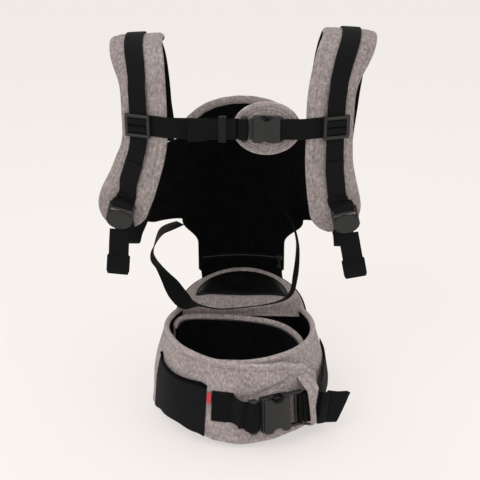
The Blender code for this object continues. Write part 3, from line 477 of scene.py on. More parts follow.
def tube(name, points, radius, mat, body, replaces=(), sides=10, squash=1.0, closed=False):
    """A rolled edge or cord of cloth: a round section swept along points, with domed ends and cloth coordinates along it."""
    pts = [Vector(p) for p in points]
    bm = bmesh.new()
    uv = bm.loops.layers.uv.new("UVMap")
    rings = []
    run = 0.0
    n = len(pts)
    prev = None
    up = None
    for i, p in enumerate(pts):
        if closed:
            t = (pts[(i + 1) % n] - pts[i - 1]).normalized()
        else:
            t = (pts[min(i + 1, n - 1)] - pts[max(i - 1, 0)]).normalized()
        if up is None:
            ref = Vector((0, 0, 1)) if abs(t.z) < 0.9 else Vector((1, 0, 0))
            up = (ref - t * ref.dot(t)).normalized()
        else:
            up = (up - t * up.dot(t)).normalized()
        side = t.cross(up)
        if prev is not None:
            run += (p - prev).length
        prev = p
        r = radius(i / (n - 1)) if callable(radius) else radius
        ring_v = [bm.verts.new(p + up * (math.cos(2 * math.pi * k / sides) * r * squash) + side * (math.sin(2 * math.pi * k / sides) * r)) for k in range(sides)]
        rings.append((ring_v, run, r))
    pairs = list(zip(rings, rings[1:]))
    if closed:
        pairs.append((rings[-1], (rings[0][0], run + (pts[0] - pts[-1]).length, rings[0][2])))
    for (a, ra, r0), (b, rb, r1) in pairs:
        for k in range(sides):
            q = (k + 1) % sides
            face = bm.faces.new((a[k], a[q], b[q], b[k]))
            face.smooth = True
            w = 2 * math.pi * r0 / sides
            for loop, (x, y) in zip(face.loops, ((k * w, ra), ((k + 1) * w, ra), ((k + 1) * w, rb), (k * w, rb))):
                loop[uv].uv = (x, y)
    if not closed:
        for (vs, _, r), sign, idx in ((rings[0], -1, 0), (rings[-1], 1, n - 1)):
            t = (pts[1] - pts[0]).normalized() if idx == 0 else (pts[-1] - pts[-2]).normalized()
            c = bm.verts.new(pts[idx] + t * sign * r * 0.55)
            for k in range(sides):
                face = bm.faces.new((vs[k], vs[(k + 1) % sides], c))
                face.smooth = True
    close(bm)
    me = bpy.data.meshes.new(name)
    bm.to_mesh(me)
    bm.free()
    me.materials.append(mat)
    ob = bpy.data.objects.new(name, me)
    return place(ob, body, replaces)


def stitches(name, runs, mat, body, length=0.0026, gap=0.0013, r=0.00038):
    """Rows of thread: each run is a list of (point, normal); a short raised dash is laid every few millimetres."""
    bm = bmesh.new()
    for run in runs:
        pts = [Vector(p) for p, _ in run]
        nrm = [Vector(n) for _, n in run]
        cum = [0.0]
        for a, b in zip(pts, pts[1:]):
            cum.append(cum[-1] + (b - a).length)

        def at(s):
            s = clamp(s, 0, cum[-1])
            for i in range(len(pts) - 1):
                if s <= cum[i + 1] or i == len(pts) - 2:
                    t = (s - cum[i]) / max(cum[i + 1] - cum[i], 1e-9)
                    return pts[i].lerp(pts[i + 1], t), nrm[i].lerp(nrm[i + 1], t).normalized()

        s = 0.0
        while s + length <= cum[-1]:
            (a, na), (b, nb) = at(s), at(s + length)
            d = (b - a).normalized()
            side = d.cross(na).normalized()
            sect = []
            for t, lift, rad in ((0.0, -0.4, 0.45), (0.22, 0.5, 1.0), (0.78, 0.5, 1.0), (1.0, -0.4, 0.45)):
                c = a.lerp(b, t) + na * r * lift
                sect.append([bm.verts.new(c + side * r * rad * x + na * r * rad * y) for x, y in ((1, 0), (0, 1), (-1, 0), (0, -1))])
            for p, q in zip(sect, sect[1:]):
                for k in range(4):
                    bm.faces.new((p[k], p[(k + 1) % 4], q[(k + 1) % 4], q[k])).smooth = True
            bm.faces.new(sect[0])
            bm.faces.new(sect[-1])
            s += length + gap
    bmesh.ops.recalc_face_normals(bm, faces=bm.faces)
    me = bpy.data.meshes.new(name)
    bm.to_mesh(me)
    bm.free()
    me.materials.append(mat)
    return place(bpy.data.objects.new(name, me), body)


def ribbon(name, path, width, t0, t1, nv, mat, body, replaces=(), s0=0.0, s1=1.0, nu=8, ripple=0.0, seed=0.0):
    """Flat webbing along a path whose first track is its width direction, with soft edges."""

    def f(u, v, k):
        s = lerp(s0, s1, v)
        p, b = path.at(s)[:2]
        t = path.tangent(s)
        b = (b - t * b.dot(t)).normalized()
        n = b.cross(t)
        w = width(s) if callable(width) else width
        mid, h = (t0 + t1) / 2, (t1 - t0) / 2
        h *= 0.35 + 0.65 * crown(u, 8)
        wob = ripple * noise.noise(Vector((s * path.length * 30, u * 1.2, seed)))
        return p + b * (u - 0.5) * w + n * (mid + wob + (h if k else -h))

    w = width(0.5) if callable(width) else width
    return slab(name, nu, nv, f, mat, (w, path.length * abs(s1 - s0)), body, replaces, us=spread)


def puff(e, r):
    """Rounded shoulder: 0 on an edge, 1 from r inwards."""
    return math.sqrt(max(0.0, 1 - (1 - clamp(e / r)) ** 2))


def box(size, loc, bevel=0.0006):
    return ("box", size, loc, bevel)


def rod(r, h, loc, axis="Z", seg=40, scale=(1, 1, 1)):
    return ("rod", r, h, loc, axis, seg, scale)


def shape_bm(spec):
    bm = bmesh.new()
    if spec[0] == "box":
        _, size, loc, bevel = spec
        vs = bmesh.ops.create_cube(bm, size=1.0)["verts"]
        bmesh.ops.scale(bm, vec=size, verts=vs)
        if bevel > 0:
            bmesh.ops.bevel(bm, geom=bm.edges[:], offset=bevel, segments=4, affect="EDGES", profile=0.5)
        bmesh.ops.translate(bm, vec=loc, verts=bm.verts[:])
    else:
        _, r, h, loc, axis, seg, scale = spec
        vs = bmesh.ops.create_cone(bm, cap_ends=True, segments=seg, radius1=r, radius2=r, depth=h)["verts"]
        if axis == "X":
            bmesh.ops.rotate(bm, cent=(0, 0, 0), matrix=Matrix.Rotation(math.pi / 2, 3, "Y"), verts=vs)
        if axis == "Y":
            bmesh.ops.rotate(bm, cent=(0, 0, 0), matrix=Matrix.Rotation(math.pi / 2, 3, "X"), verts=vs)
        bmesh.ops.scale(bm, vec=scale, verts=vs)
        bmesh.ops.translate(bm, vec=loc, verts=vs)
    return bm


def moulded(name, adds, cuts, m, body, replaces=(), bevel=0.0004, mat=None):
    """A moulded part: shapes joined and cut, then every sharp edge softened."""
    obs = []
    for i, spec in enumerate(list(adds) + list(cuts)):
        bm = shape_bm(spec)
        me = bpy.data.meshes.new(f"tmp_{i}")
        bm.to_mesh(me)
        bm.free()
        ob = bpy.data.objects.new(f"tmp_{name}_{i}", me)
        bpy.context.scene.collection.objects.link(ob)
        obs.append(ob)
    base = obs[0]
    for i, ob in enumerate(obs[1:], 1):
        mod = base.modifiers.new(f"b{i}", "BOOLEAN")
        mod.operation = "UNION" if i < len(adds) else "DIFFERENCE"
        mod.solver = "EXACT"
        mod.object = ob
    me = bpy.data.meshes.new_from_object(base.evaluated_get(bpy.context.evaluated_depsgraph_get()))
    me.name = name
    for ob in obs:
        bpy.data.objects.remove(ob)
    me.transform(m)
    bm = bmesh.new()
    bm.from_mesh(me)
    bmesh.ops.remove_doubles(bm, verts=bm.verts, dist=2e-6)
    bmesh.ops.dissolve_limit(bm, angle_limit=math.radians(1), verts=bm.verts, edges=bm.edges)
    bmesh.ops.recalc_face_normals(bm, faces=bm.faces)
    bm.to_mesh(me)
    bm.free()
    me.shade_smooth()
    me.set_sharp_from_angle(angle=math.radians(32))
    me.materials.clear()
    me.materials.append(mat or PLASTIC)
    ob = bpy.data.objects.new(name, me)
    if bevel:
        b = ob.modifiers.new("edges", "BEVEL")
        b.width, b.segments, b.limit_method, b.angle_limit = bevel, 2, "ANGLE", math.radians(38)
        b.harden_normals = True
    return place(ob, body, replaces)


def inflate(ob, pressure=3.0, frames=14, cap=0.004, pin=None, bend=0.6, tension=12.0):
    """Swells a sewn cloth shell with air pressure while its seams (pin) hold, and keeps the result."""
    me = ob.data
    before = [v.co.copy() for v in me.vertices]
    group = ob.vertex_groups.new(name="seam")
    for i, v in enumerate(me.vertices):
        w = pin(v.co, i) if pin else 0.0
        if w > 0:
            group.add([i], w, "REPLACE")
    cloth = ob.modifiers.new("cloth", "CLOTH")
    s = cloth.settings
    s.quality = 5
    s.mass = 0.25
    s.tension_stiffness = s.compression_stiffness = tension
    s.shear_stiffness = 5
    s.bending_stiffness = bend
    s.air_damping = 2
    s.use_pressure = True
    s.uniform_pressure_force = pressure
    s.vertex_group_mass = "seam"
    s.effector_weights.gravity = 0
    cloth.collision_settings.use_collision = False
    cloth.point_cache.frame_start, cloth.point_cache.frame_end = 1, frames
    scene = bpy.context.scene
    for f in range(1, frames + 1):
        scene.frame_set(f)
    out = bpy.data.meshes.new_from_object(ob.evaluated_get(bpy.context.evaluated_depsgraph_get()))
    after = [v.co.copy() for v in out.vertices]
    ob.modifiers.remove(cloth)
    bpy.data.meshes.remove(out)
    if len(after) == len(before):
        for v, a, b in zip(me.vertices, before, after):
            d = b - a
            if d.length > cap:
                d *= cap / d.length
            v.co = a + d
    me.update()
    scene.frame_set(1)


# ------------------------------------------------------------------ floor
fl = bpy.data.meshes.new("floor")
bm = bmesh.new()
bmesh.ops.create_grid(bm, x_segments=4, y_segments=4, size=9.0)
bmesh.ops.translate(bm, vec=(0, 5.0, -0.0005), verts=bm.verts)
bm.to_mesh(fl)
bm.free()
fl.materials.append(FLOOR)
floor = bpy.data.objects.new("floor", fl)
bpy.context.scene.collection.objects.link(floor)


# ------------------------------------------------------------------ waist belt
def ring(t, z, d=0.0):
    h = z / BELT_H
    a = lerp(BELT_A_BOTTOM, BELT_A_TOP, h)
    r = math.radians(t)
    b = lerp(BELT_N_BOTTOM, BELT_N_TOP, h) if math.sin(r) < 0 else BELT_F
    n = Vector((math.cos(r) / a, math.sin(r) / b, 0)).normalized()
    # the padded wall bellies out a little at both sides
    d += 0.0052 * math.cos(r) ** 4 * (0.15 + 1.30 * math.exp(-((h - 0.55) / 0.33) ** 2))
    return Vector((a * math.cos(r), BELT_YC + b * math.sin(r), z)) + n * d


def rise(t, z, d=0.0):
    return (ring(t, z + 0.002, d) - ring(t, z - 0.002, d)).normalized()


def facing(t, z):
    along = (ring(t + 0.5, z) - ring(t - 0.5, z)).normalized()
    return along.cross(rise(t, z)).normalized()


def lift(t):
    return OVERLAP_LIFT * smooth((t - 200) / 33)


LEFT_T, RIGHT_T = (147.0, 328.0), (394.0, 238.0)
LEFT_TOP = [(150, 0.140), (195, 0.1435), (226, 0.1485), (262, 0.1410), (300, 0.132), (316, 0.120), (328, 0.098)]
LEFT_BOTTOM = [(150, 0.0), (185, 0.003), (200, 0.014), (214, 0.0235), (230, 0.0265), (245, 0.0195), (258, 0.0105), (272, 0.0070), (288, 0.0100),
               (305, 0.015), (316, 0.017), (323, 0.026), (328, 0.066)]
RIGHT_BOTTOM = [(238, 0.040), (250, 0.030), (262, 0.020), (300, 0.017), (330, 0.008), (350, 0.0)]
RIGHT_TOP = [(238, 0.134), (270, 0.1365), (310, 0.139), (390, 0.142)]
CREASES = [  # (t0, z0, t1, z1, width, depth)
    (280, 0.0865, 304, 0.1040, 0.0032, -0.0026), (281, 0.0960, 306, 0.1130, 0.0050, 0.0016), (271.5, 0.116, 277.5, 0.098, 0.0030, -0.0012),
    (267, 0.112, 272, 0.096, 0.0034, 0.0009), (294, 0.1180, 313, 0.1010, 0.0036, -0.0011), (298, 0.094, 314, 0.0700, 0.0045, -0.0014),
    (256, 0.094, 268, 0.084, 0.0040, -0.0007), (212, 0.124, 240, 0.116, 0.0045, -0.0008), (262, 0.024, 300, 0.018, 0.0045, -0.0009),
    (318, 0.092, 324, 0.060, 0.0030, -0.0012), (230, 0.130, 258, 0.121, 0.0040, 0.0007)]


def crease(t, z):
    x, total = math.radians(t) * 0.135, 0.0
    for t0, z0, t1, z1, w, depth in CREASES:
        x0, x1 = math.radians(t0) * 0.135, math.radians(t1) * 0.135
        dx, dz = x1 - x0, z1 - z0
        q = clamp(((x - x0) * dx + (z - z0) * dz) / (dx * dx + dz * dz), -0.2, 1.2)
        ex, ez = x - (x0 + q * dx), z - (z0 + q * dz)
        e2 = ex * ex + ez * ez
        if e2 < (3.2 * w) ** 2:
            total += 1.6 * depth * math.exp(-e2 / (w * w)) * (0.35 + 0.65 * math.sin(math.pi * clamp(q)))
    return total


def wing_span(side):
    return (LEFT_T, LEFT_TOP) if side == "left" else (RIGHT_T, RIGHT_TOP)


def belt_wing(side):
    ts, tops = wing_span(side)
    length = abs(ts[1] - ts[0]) * math.pi / 180 * 0.133
    seed = 3.1 if side == "left" else 8.7

    def f(u, v, k):
        t = lerp(ts[0], ts[1], u)
        lo = table(LEFT_BOTTOM if side == "left" else RIGHT_BOTTOM, t)
        hi = table(tops, t)
        z = lerp(lo + 0.0006, hi, v)
        e = min(u * length, (1 - u) * length, z - lo, hi - z)
        h = (WALL - 0.0002) * (0.12 + 0.88 * puff(e, 0.0060))
        n = noise.noise(Vector((t * 0.055, z * 26, seed))) * 0.0009 + noise.noise(Vector((t * 0.16, z * 60, seed + 4))) * 0.00035
        calm = smooth(e / 0.014)
        d = h + (n + (crease(t, z) if side == "left" else 0.0)) * calm if k else -h + n * 0.4 * calm
        if k and z > hi - 0.011:
            d -= 0.0007 * bell(hi - z - 0.0088, 0.0012)      # stitched-down line under the binding
        return ring(t, z, (lift(t) if side == "left" else 0.0) + d)

    ob = slab(f"belt_wing_{side}", 150, 48, f, [GREY, LINING], (length, 0.140), "seat_and_belt",
              (f"belt_cover_{side}", f"belt_foam_{side}", f"belt_lining_{side}"),
              pick=lambda u, v, s: 1 if s == 0 else 0, vs=lambda v: 0.55 * v + 0.45 * spread(v), us=lambda u: 0.85 * u + 0.15 * spread(u))
    # rolled binding along the top edge, round the wing's end
    pts = []
    t_in, t_out = (ts[0] + 1.5, ts[1]) if side == "left" else (ts[0] - 1.5, ts[1])
    n = 80
    for i in range(n + 1):
        t = lerp(t_in, t_out - (0.8 if side == "left" else -0.8), i / n)
        pts.append(ring(t, table(tops, t) - 0.0026, (lift(t) if side == "left" else 0.0)))
    if side == "left":
        for i in range(1, 13):
            t = 327.2 - 2.2 * smooth(max(0, i - 6) / 6)
            z = lerp(0.0954, 0.030, i / 12)
            t = 150 + (table([(0.0, 160), (0.019, 166), (0.026, 172.6), (0.066, 177.4), (0.100, 177.6)], z))
            pts.append(ring(t, z, lift(t)))
    tube(f"belt_binding_{side}", pts, lambda q: 0.0044, PIPE_PAINTED_HIGHLIGHT, "seat_and_belt", sides=14, squash=1.05)
    return ob


def top_run(side, below, d, t0, t1, n=160):
    ts, tops = wing_span(side)
    out = []
    for i in range(n + 1):
        t = lerp(t0, t1, i / n)
        z = table(tops, t) - below
        out.append((ring(t, z, (lift(t) if side == "left" else 0.0) + d), facing(t, z)))
    return out


for side in ("left", "right"):
    belt_wing(side)
stitches("belt_stitching", [top_run("left", 0.0088, WALL - 0.0006, 153, 318), top_run("right", 0.0088, WALL - 0.0006, 387, 300)], GREY_THREAD, "seat_and_belt")


def belt_patch(name, t0, t1, z0, z1, d0, d1, mat, on_left=True, nu=40, nv=24, top=None, bulge=0.0, replaces=(), body="seat_and_belt", rnd=0.0015, low=None):
    length = abs(t1 - t0) * math.pi / 180 * 0.137

    def f(u, v, k):
        t = lerp(t0, t1, u)
        hi = top(t) if top else z1
        lo = low(t) if low else z0
        z = lerp(lo, hi, v)
        e = min(u * length, (1 - u) * length, z - lo, hi - z)
        mid, h = (d0 + d1) / 2, (d1 - d0) / 2 * (0.3 + 0.7 * puff(e, rnd))
        b = bulge * math.sin(math.pi * u) ** 0.7 * smooth((z - lo) / 0.05) * smooth(u / 0.12) * smooth((1 - u) / 0.12)
        n = noise.noise(Vector((t * 0.11, z * 42, 1.7))) * 0.0007 * smooth(e / 0.012)
        return ring(t, z, (lift(t) if on_left else 0.0) + mid + b + n + (h if k else -h))

    return slab(name, nu, nv, f, mat, (length, z1 - z0), body, replaces)


belt_patch("hook_and_loop_soft", 260, 306, 0.026, 0.100, WALL + 0.0006, WALL + 0.0016, CLOTH, on_left=False, replaces=("belt_loop_patch",))
belt_patch("hook_and_loop_rough", 262, 304, 0.026, 0.096, -WALL - 0.0016, -WALL - 0.0006, CLOTH, replaces=("belt_hook_patch",))


def pocket_top(t):
    return 0.104 + 0.008 * smooth((207 - t) / 9) - 0.004 * smooth((t - 246) / 5)


belt_patch("side_pocket_knit", 199, 251, 0.001, 0.107, WALL + 0.0006, WALL + 0.0022, KNIT, nu=70, nv=44, top=pocket_top, bulge=0.0022, low=lambda t: table(LEFT_BOTTOM, t) + 0.001,
           replaces=("side_pocket",))


def pocket_d(t, u, z):
    return lift(t) + WALL + 0.0018 + 0.0022 * math.sin(math.pi * u) ** 0.7 * smooth((z - 0.001) / 0.05) * smooth(u / 0.12) * smooth((1 - u) / 0.12)


rim = []
for i in range(61):
    u = i / 60
    t = lerp(199.3, 250.7, u)
    z = pocket_top(t) - 0.0012
    rim.append(ring(t, z, pocket_d(t, u, z)))
tube("side_pocket_binding", rim, 0.0021, CLOTH, "seat_and_belt", sides=10, squash=1.9)
side_run = [(ring(250.3, lerp(0.024, 0.098, i / 30), lift(250.3) + WALL + 0.0023), facing(250.3, 0.05)) for i in range(31)]
stitches("side_pocket_stitching", [side_run], BLACK_THREAD, "seat_and_belt")


def tag_f(u, v, k):
    t, z = lerp(251.3, 254.3, u), lerp(0.0735, 0.0915, v)
    curl = 0.0022 * smooth(u) + 0.0006 * math.sin(v * 7)
    h = 0.00075 * (0.5 + 0.5 * puff(min(u * 0.0072, (1 - u) * 0.0072, v * 0.018, (1 - v) * 0.018), 0.0008))
    return ring(t, z, lift(t) + WALL + 0.0014 + curl + (h if k else -h))


slab("side_tag_label", 16, 24, tag_f, TAG, (0.0072, 0.018), "seat_and_belt", ("side_tag",))

# belly pad
BELLY = Path([(-0.1085, 0.032, 0), (-0.1050, 0.052, 0), (-0.0890, 0.0650, 0), (-0.050, 0.0655, 0), (0.000, 0.0610, 0),
              (0.046, 0.0490, 0), (0.074, 0.0310, 0), (0.0935, 0.0040, 0), (0.1040, -0.0240, 0)])


def belly_point(u, z, d):
    p, t = BELLY.pos(u), BELLY.tangent(u)
    return Vector((p.x, p.y, z)) + Vector((-t.y, t.x, 0)) * d


def belly_top(u):
    return 0.1340 - 0.004 * abs(2 * u - 1) ** 3


def belly_f(u, v, k):
    hi = belly_top(u)
    z = lerp(0.010, hi, v)
    e = min(u * BELLY.length, (1 - u) * BELLY.length, z - 0.010, hi - z)
    h = 0.0042 * (0.10 + 0.90 * puff(e, 0.0055)) + 0.0005 * smooth(e / 0.03)
    if hi - z > 0.0075:
        h -= 0.0007 * bell(hi - z - 0.0088, 0.0016)
    n = noise.noise(Vector((u * 9, z * 30, 5.5))) * 0.0006 * smooth(e / 0.012)
    return belly_point(u, z, n + (h if k else -h * 0.92))


ob = slab("belly_pad_cover", 96, 44, belly_f, [GREY, LINING], (BELLY.length, 0.124), "seat_and_belt", ("belly_pad",),
          pick=lambda u, v, s: 0 if s or v > 0.925 else 1, us=lambda u: 0.7 * u + 0.3 * spread(u), vs=lambda v: 0.5 * v + 0.5 * spread(v))


def belly_lining(u, v, k):
    uu, z = lerp(0.012, 0.988, u), lerp(0.012, belly_top(lerp(0.012, 0.988, u)) - 0.0075, v)
    e = min(u * 0.27, (1 - u) * 0.27, v * 0.11, (1 - v) * 0.11)
    n = noise.noise(Vector((u * 8, z * 22, 2.2))) * 0.0008 * smooth(e / 0.015)
    quilt = -0.0006 * (bell(((u * 5.0) % 1.0) - 0.5, 0.035)) * smooth(e / 0.01)
    return belly_point(uu, z, -0.0046 + n - quilt + (0.0003 if k else -0.0007 * (0.3 + 0.7 * puff(e, 0.002))))


slab("belly_pad_lining", 110, 36, belly_lining, LINING, (0.27, 0.115), "seat_and_belt", ("belly_lining",))
run = [(belly_point(i / 120, belly_top(i / 120) - 0.0085, -0.0049), -(belly_point(i / 120, 0.1, 1) - belly_point(i / 120, 0.1, 0)).normalized()) for i in range(3, 118)]
stitches("belly_pad_stitching", [run], GREY_THREAD, "seat_and_belt")


# ------------------------------------------------------------------ hip seat
def half_disc(u, v):
    s, t = 2 * u - 1, v
    return s * math.sqrt(1 - t * t / 2), t * math.sqrt(1 - s * s / 2)


def seat_z(x, y):
    ridge = 0.0070 * math.exp(-((y - 0.108) / 0.018) ** 2) * (1 - (x / 0.098) ** 2)
    bowl = 0.0065 * clamp(1 - (x / 0.088) ** 2 - ((y - 0.164) / 0.052) ** 2)
    return SEAT_Z0 + (y - SEAT_Y0) * SEAT_SLOPE + ridge - bowl


def seat_plan(u, v, inset, z):
    h = clamp(z / 0.150)
    depth = lerp(SEAT_FOOT, SEAT_Y1 - SEAT_Y0, h) - 2 * inset
    hw = lerp(0.100, SEAT_HW, h) - inset
    x, y = half_disc(u, v)
    return x * hw, SEAT_Y0 + inset + y * depth


def disc_edge(u, v):
    """Distance in metres from the half disc's outline, near enough."""
    x, y = half_disc(u, v)
    r = 1 - math.hypot(x, y)
    return min(r * 0.115, y * 0.135)


def seat_top_f(u, v, k):
    x, y = seat_plan(u, v, 0.0, 0.150)
    e = max(0.0, disc_edge(u, v))
    z = seat_z(x, y)
    if k:
        soft = noise.noise(Vector((x * 28, y * 28, 0.4))) * 0.0007 * smooth(e / 0.02)
        around = -0.0016 * bell(grip_edge(x, y), 0.0035)
        return Vector((x, y, z - 0.0050 + 0.0070 * puff(e, 0.0075) + soft + around))
    return Vector((x, y, z - 0.0135 + 0.003 * (1 - puff(e, 0.006))))


def grip_edge(x, y):
    """Signed distance in y from the grip panel's near edge (positive outside)."""
    if abs(x) > 0.079:
        return 1.0
    near = 0.1215 + 0.008 * (1 - (x / 0.079) ** 2)
    return near - y


ob = slab("seat_top_cushion", 90, 64, seat_top_f, GREY, (0.216, 0.135), "seat_and_belt", ("seat_top_cover", "seat_core"),
          us=lambda u: 0.6 * u + 0.4 * spread(u), vs=lambda v: 0.6 * v + 0.4 * spread(v))


def seat_wall(u, v, k):
    a = math.pi * (1 - u)
    x1, y1 = math.cos(a) * SEAT_HW, SEAT_Y0 + math.sin(a) * (SEAT_Y1 - SEAT_Y0)
    x0, y0 = math.cos(a) * 0.100, SEAT_Y0 + math.sin(a) * SEAT_FOOT
    top = seat_z(x1, y1) - 0.0050
    z = top * v
    out = Vector((math.cos(a) / SEAT_HW, math.sin(a) / 0.13, 0)).normalized()
    e = min(z, top - z, u * 0.30, (1 - u) * 0.30)
    n = noise.noise(Vector((u * 11, z * 18, 6.6))) * 0.0012 + noise.noise(Vector((u * 26, z * 26, 1.6))) * 0.0004
    belly = 0.0018 * math.sin(math.pi * clamp(z / top))
    d = (-0.0001 + (n - 0.0006 + belly) * smooth(e / 0.012)) if k else -0.0045
    return Vector((lerp(x0, x1, v), lerp(y0, y1, v) + 0.002, z)) + out * d


slab("seat_wall", 110, 44, seat_wall, GREY, (0.36, 0.150), "seat_and_belt", ("seat_wall_cover",))


def seat_rim(a, below=0.0045, out=0.0004):
    x1, y1 = math.cos(a) * SEAT_HW, SEAT_Y0 + math.sin(a) * (SEAT_Y1 - SEAT_Y0)
    n = Vector((math.cos(a) / SEAT_HW, math.sin(a) / 0.13, 0)).normalized()
    return Vector((x1, y1 + 0.001, seat_z(x1, y1) - below)) + n * out


rim = [seat_rim(math.pi * (1 - i / 90)) for i in range(91)]
tube("seat_piping", rim, 0.0021, CLOTH, "seat_and_belt", sides=10)
front = [Vector((lerp(-0.1060, 0.1060, i / 60), SEAT_Y0 - 0.0012, seat_z(lerp(-0.106, 0.106, i / 60), SEAT_Y0) - 0.0042)) for i in range(61)]
tube("seat_front_piping", front, 0.0020, PIPE_PAINTED_HIGHLIGHT, "seat_and_belt", sides=10)
run = [(Vector((lerp(-0.1020, 0.1020, i / 60), SEAT_Y0 + 0.0070, seat_z(lerp(-0.102, 0.102, i / 60), SEAT_Y0 + 0.007) + 0.0014)), Vector((0, -0.15, 1))) for i in range(61)]
rim_run = []
for i in range(4, 117):
    a = math.pi * (1 - i / 120)
    x, y = math.cos(a) * (SEAT_HW - 0.0075), SEAT_Y0 + math.sin(a) * (SEAT_Y1 - SEAT_Y0 - 0.0075)
    rim_run.append((Vector((x, y, seat_z(x, y) + 0.0014)), Vector((0, 0, 1))))
stitches("seat_stitching", [run, rim_run], GREY_THREAD, "seat_and_belt")


def seat_back(u, v, k):
    half = lerp(0.1190, 0.1045, smooth(v))
    x, z = lerp(-half, half, u), lerp(0.0, 0.126, v)
    e = min(u * 0.206, (1 - u) * 0.206, v * 0.126, (1 - v) * 0.126)
    n = noise.noise(Vector((x * 30, z * 30, 3.3))) * 0.0005 * smooth(e / 0.01)
    return Vector((x, SEAT_Y0 - 0.0018 + n + (0.0011 if k else -0.0011) * (0.3 + 0.7 * puff(e, 0.002)), z))


slab("seat_back_lining", 40, 26, seat_back, LINING, (0.206, 0.126), "seat_and_belt", ("seat_back_cover",))


def seat_base(u, v, k):
    x, y = seat_plan(u, v, 0.0035, 0.0)
    e = min(max(0.0, 1 - math.hypot(*half_disc(u, v))) * 0.06, v * 0.034)
    return Vector((x, y, 0.0001 + (0.0028 if k else 0.0) + (0.0008 * (1 - puff(e, 0.003)) if not k else -0.0008 * (1 - puff(e, 0.003)))))


slab("seat_base", 50, 20, seat_base, CLOTH, (0.2, 0.034), "seat_and_belt", ("seat_base_panel",))


def grip_xy(u, v):
    x, y = half_disc(u, v)
    x *= 0.079
    near = 0.1215 + 0.008 * (1 - (x / 0.079) ** 2)
    return x, lerp(near, near + 0.078 - 0.008 * (1 - (x / 0.079) ** 2), y)


def grip_e(u, v):
    x, y = half_disc(u, v)
    return max(0.0, min((1 - math.hypot(x, y)) * 0.080, y * 0.080))


def grip(u, v, k):
    x, y = grip_xy(u, v)
    e = grip_e(u, v)
    crown_h = 0.0048 * puff(e, 0.017)
    z = seat_z(x, y) + 0.0016 + crown_h - 0.0006 * bell(e - 0.0052, 0.0012)
    return Vector((x, y, z if k else seat_z(x, y) - 0.0010))


ob = slab("seat_grip_pad", 90, 64, grip, GRIP, (0.158, 0.080), "seat_and_belt", ("seat_grip_panel",),
          us=lambda u: 0.5 * u + 0.5 * spread(u), vs=lambda v: 0.5 * v + 0.5 * spread(v))
loop_pts = [(u, 0.0) for u in [i / 40 for i in range(41)]] + [(1.0, i / 30) for i in range(1, 31)] + [(1 - i / 40, 1.0) for i in range(1, 41)] + [(0.0, 1 - i / 30) for i in range(1, 30)]
edge = []
for u, v in loop_pts:
    x, y = grip_xy(u, v)
    edge.append(Vector((x, y, seat_z(x, y) + 0.0022)))
tube("seat_grip_piping", edge, 0.0013, GRIP, "seat_and_belt", sides=8, closed=True)


# ------------------------------------------------------------------ back panel, wings and headrest
PY0 = [(0.14, 0.2190), (0.20, 0.2190), (0.26, 0.217), (0.32, 0.208), (0.38, 0.195), (0.43, 0.182), (0.46, 0.172), (0.49, 0.160)]
PK = [(0.14, 2.5), (0.20, 2.7), (0.27, 5.6), (0.32, 6.3), (0.43, 6.3), (0.49, 5.0)]


def panel_y(x, z):
    return table(PY0, z) - table(PK, z) * x * x


def panel_point(x, z, d=0.0):
    e = 0.002
    p = Vector((x, panel_y(x, z), z))
    n = Vector((-(panel_y(x + e, z) - panel_y(x - e, z)) / (2 * e), 1.0, -(panel_y(x, z + e) - panel_y(x, z - e)) / (2 * e)))
    return p + n.normalized() * d


def panel_normal(x, z):
    return (panel_point(x, z, 1.0) - panel_point(x, z, 0.0)).normalized()


def panel_hw(z):
    return table([(0.15, NECK_HW), (NECK_Z1, NECK_HW), (0.264, PANEL_HW), (0.43, PANEL_HW)], z)


def neck_shift(z):
    """The neck hangs a little to one side."""
    return -0.0038 * smooth((0.262 - z) / 0.055)


SEAMS = (0.232, 0.330)


def panel_piece(name, d0, d1, mat, replaces, seed, grow=0.0):
    def f(u, v, k):
        z = lerp(PANEL_Z0, PANEL_Z1 - 0.0005, v)
        x = (2 * u - 1) * (panel_hw(z) + grow) + neck_shift(z)
        e = min((1 - abs(2 * u - 1)) * panel_hw(z), z - PANEL_Z0, PANEL_Z1 - z)
        mid, h = (d0 + d1) / 2, (d1 - d0) / 2
        h *= 0.25 + 0.75 * puff(e, 0.004)
        n = noise.noise(Vector((x * 16, z * 13, seed))) * 0.0016 + noise.noise(Vector((x * 40, z * 9, seed + 2))) * 0.0005
        n *= smooth(e / 0.02)
        seam = sum(bell(z - s, 0.0016) for s in SEAMS) * 0.0008
        if name == "panel_inner":
            return panel_point(x, z, mid + (h if k else -h - (max(0.0, n) - seam) * 0.9))
        return panel_point(x, z, mid + (h + abs(n) * 1.2 - seam if k else -h))

    return slab(name, 60, 110, f, mat, (0.19, 0.28), "panel_and_straps", replaces)


ob = panel_piece("panel_inner", 0.0, 0.0022, LINING, ("panel_lining",), 1.1)
ob = panel_piece("panel_outer", 0.0025, 0.0050, GREY, ("panel_cover",), 7.7)
for s, side in ((-1, "left"), (1, "right")):
    pts = []
    for i in range(81):
        z = lerp(PANEL_Z0 + 0.003, 0.290, i / 80)
        pts.append(panel_point(s * (panel_hw(z) - 0.0004) + neck_shift(z), z, 0.0025))
    tube(f"panel_edge_binding_{side}", pts, 0.0033, CLOTH, "panel_and_straps", sides=12)


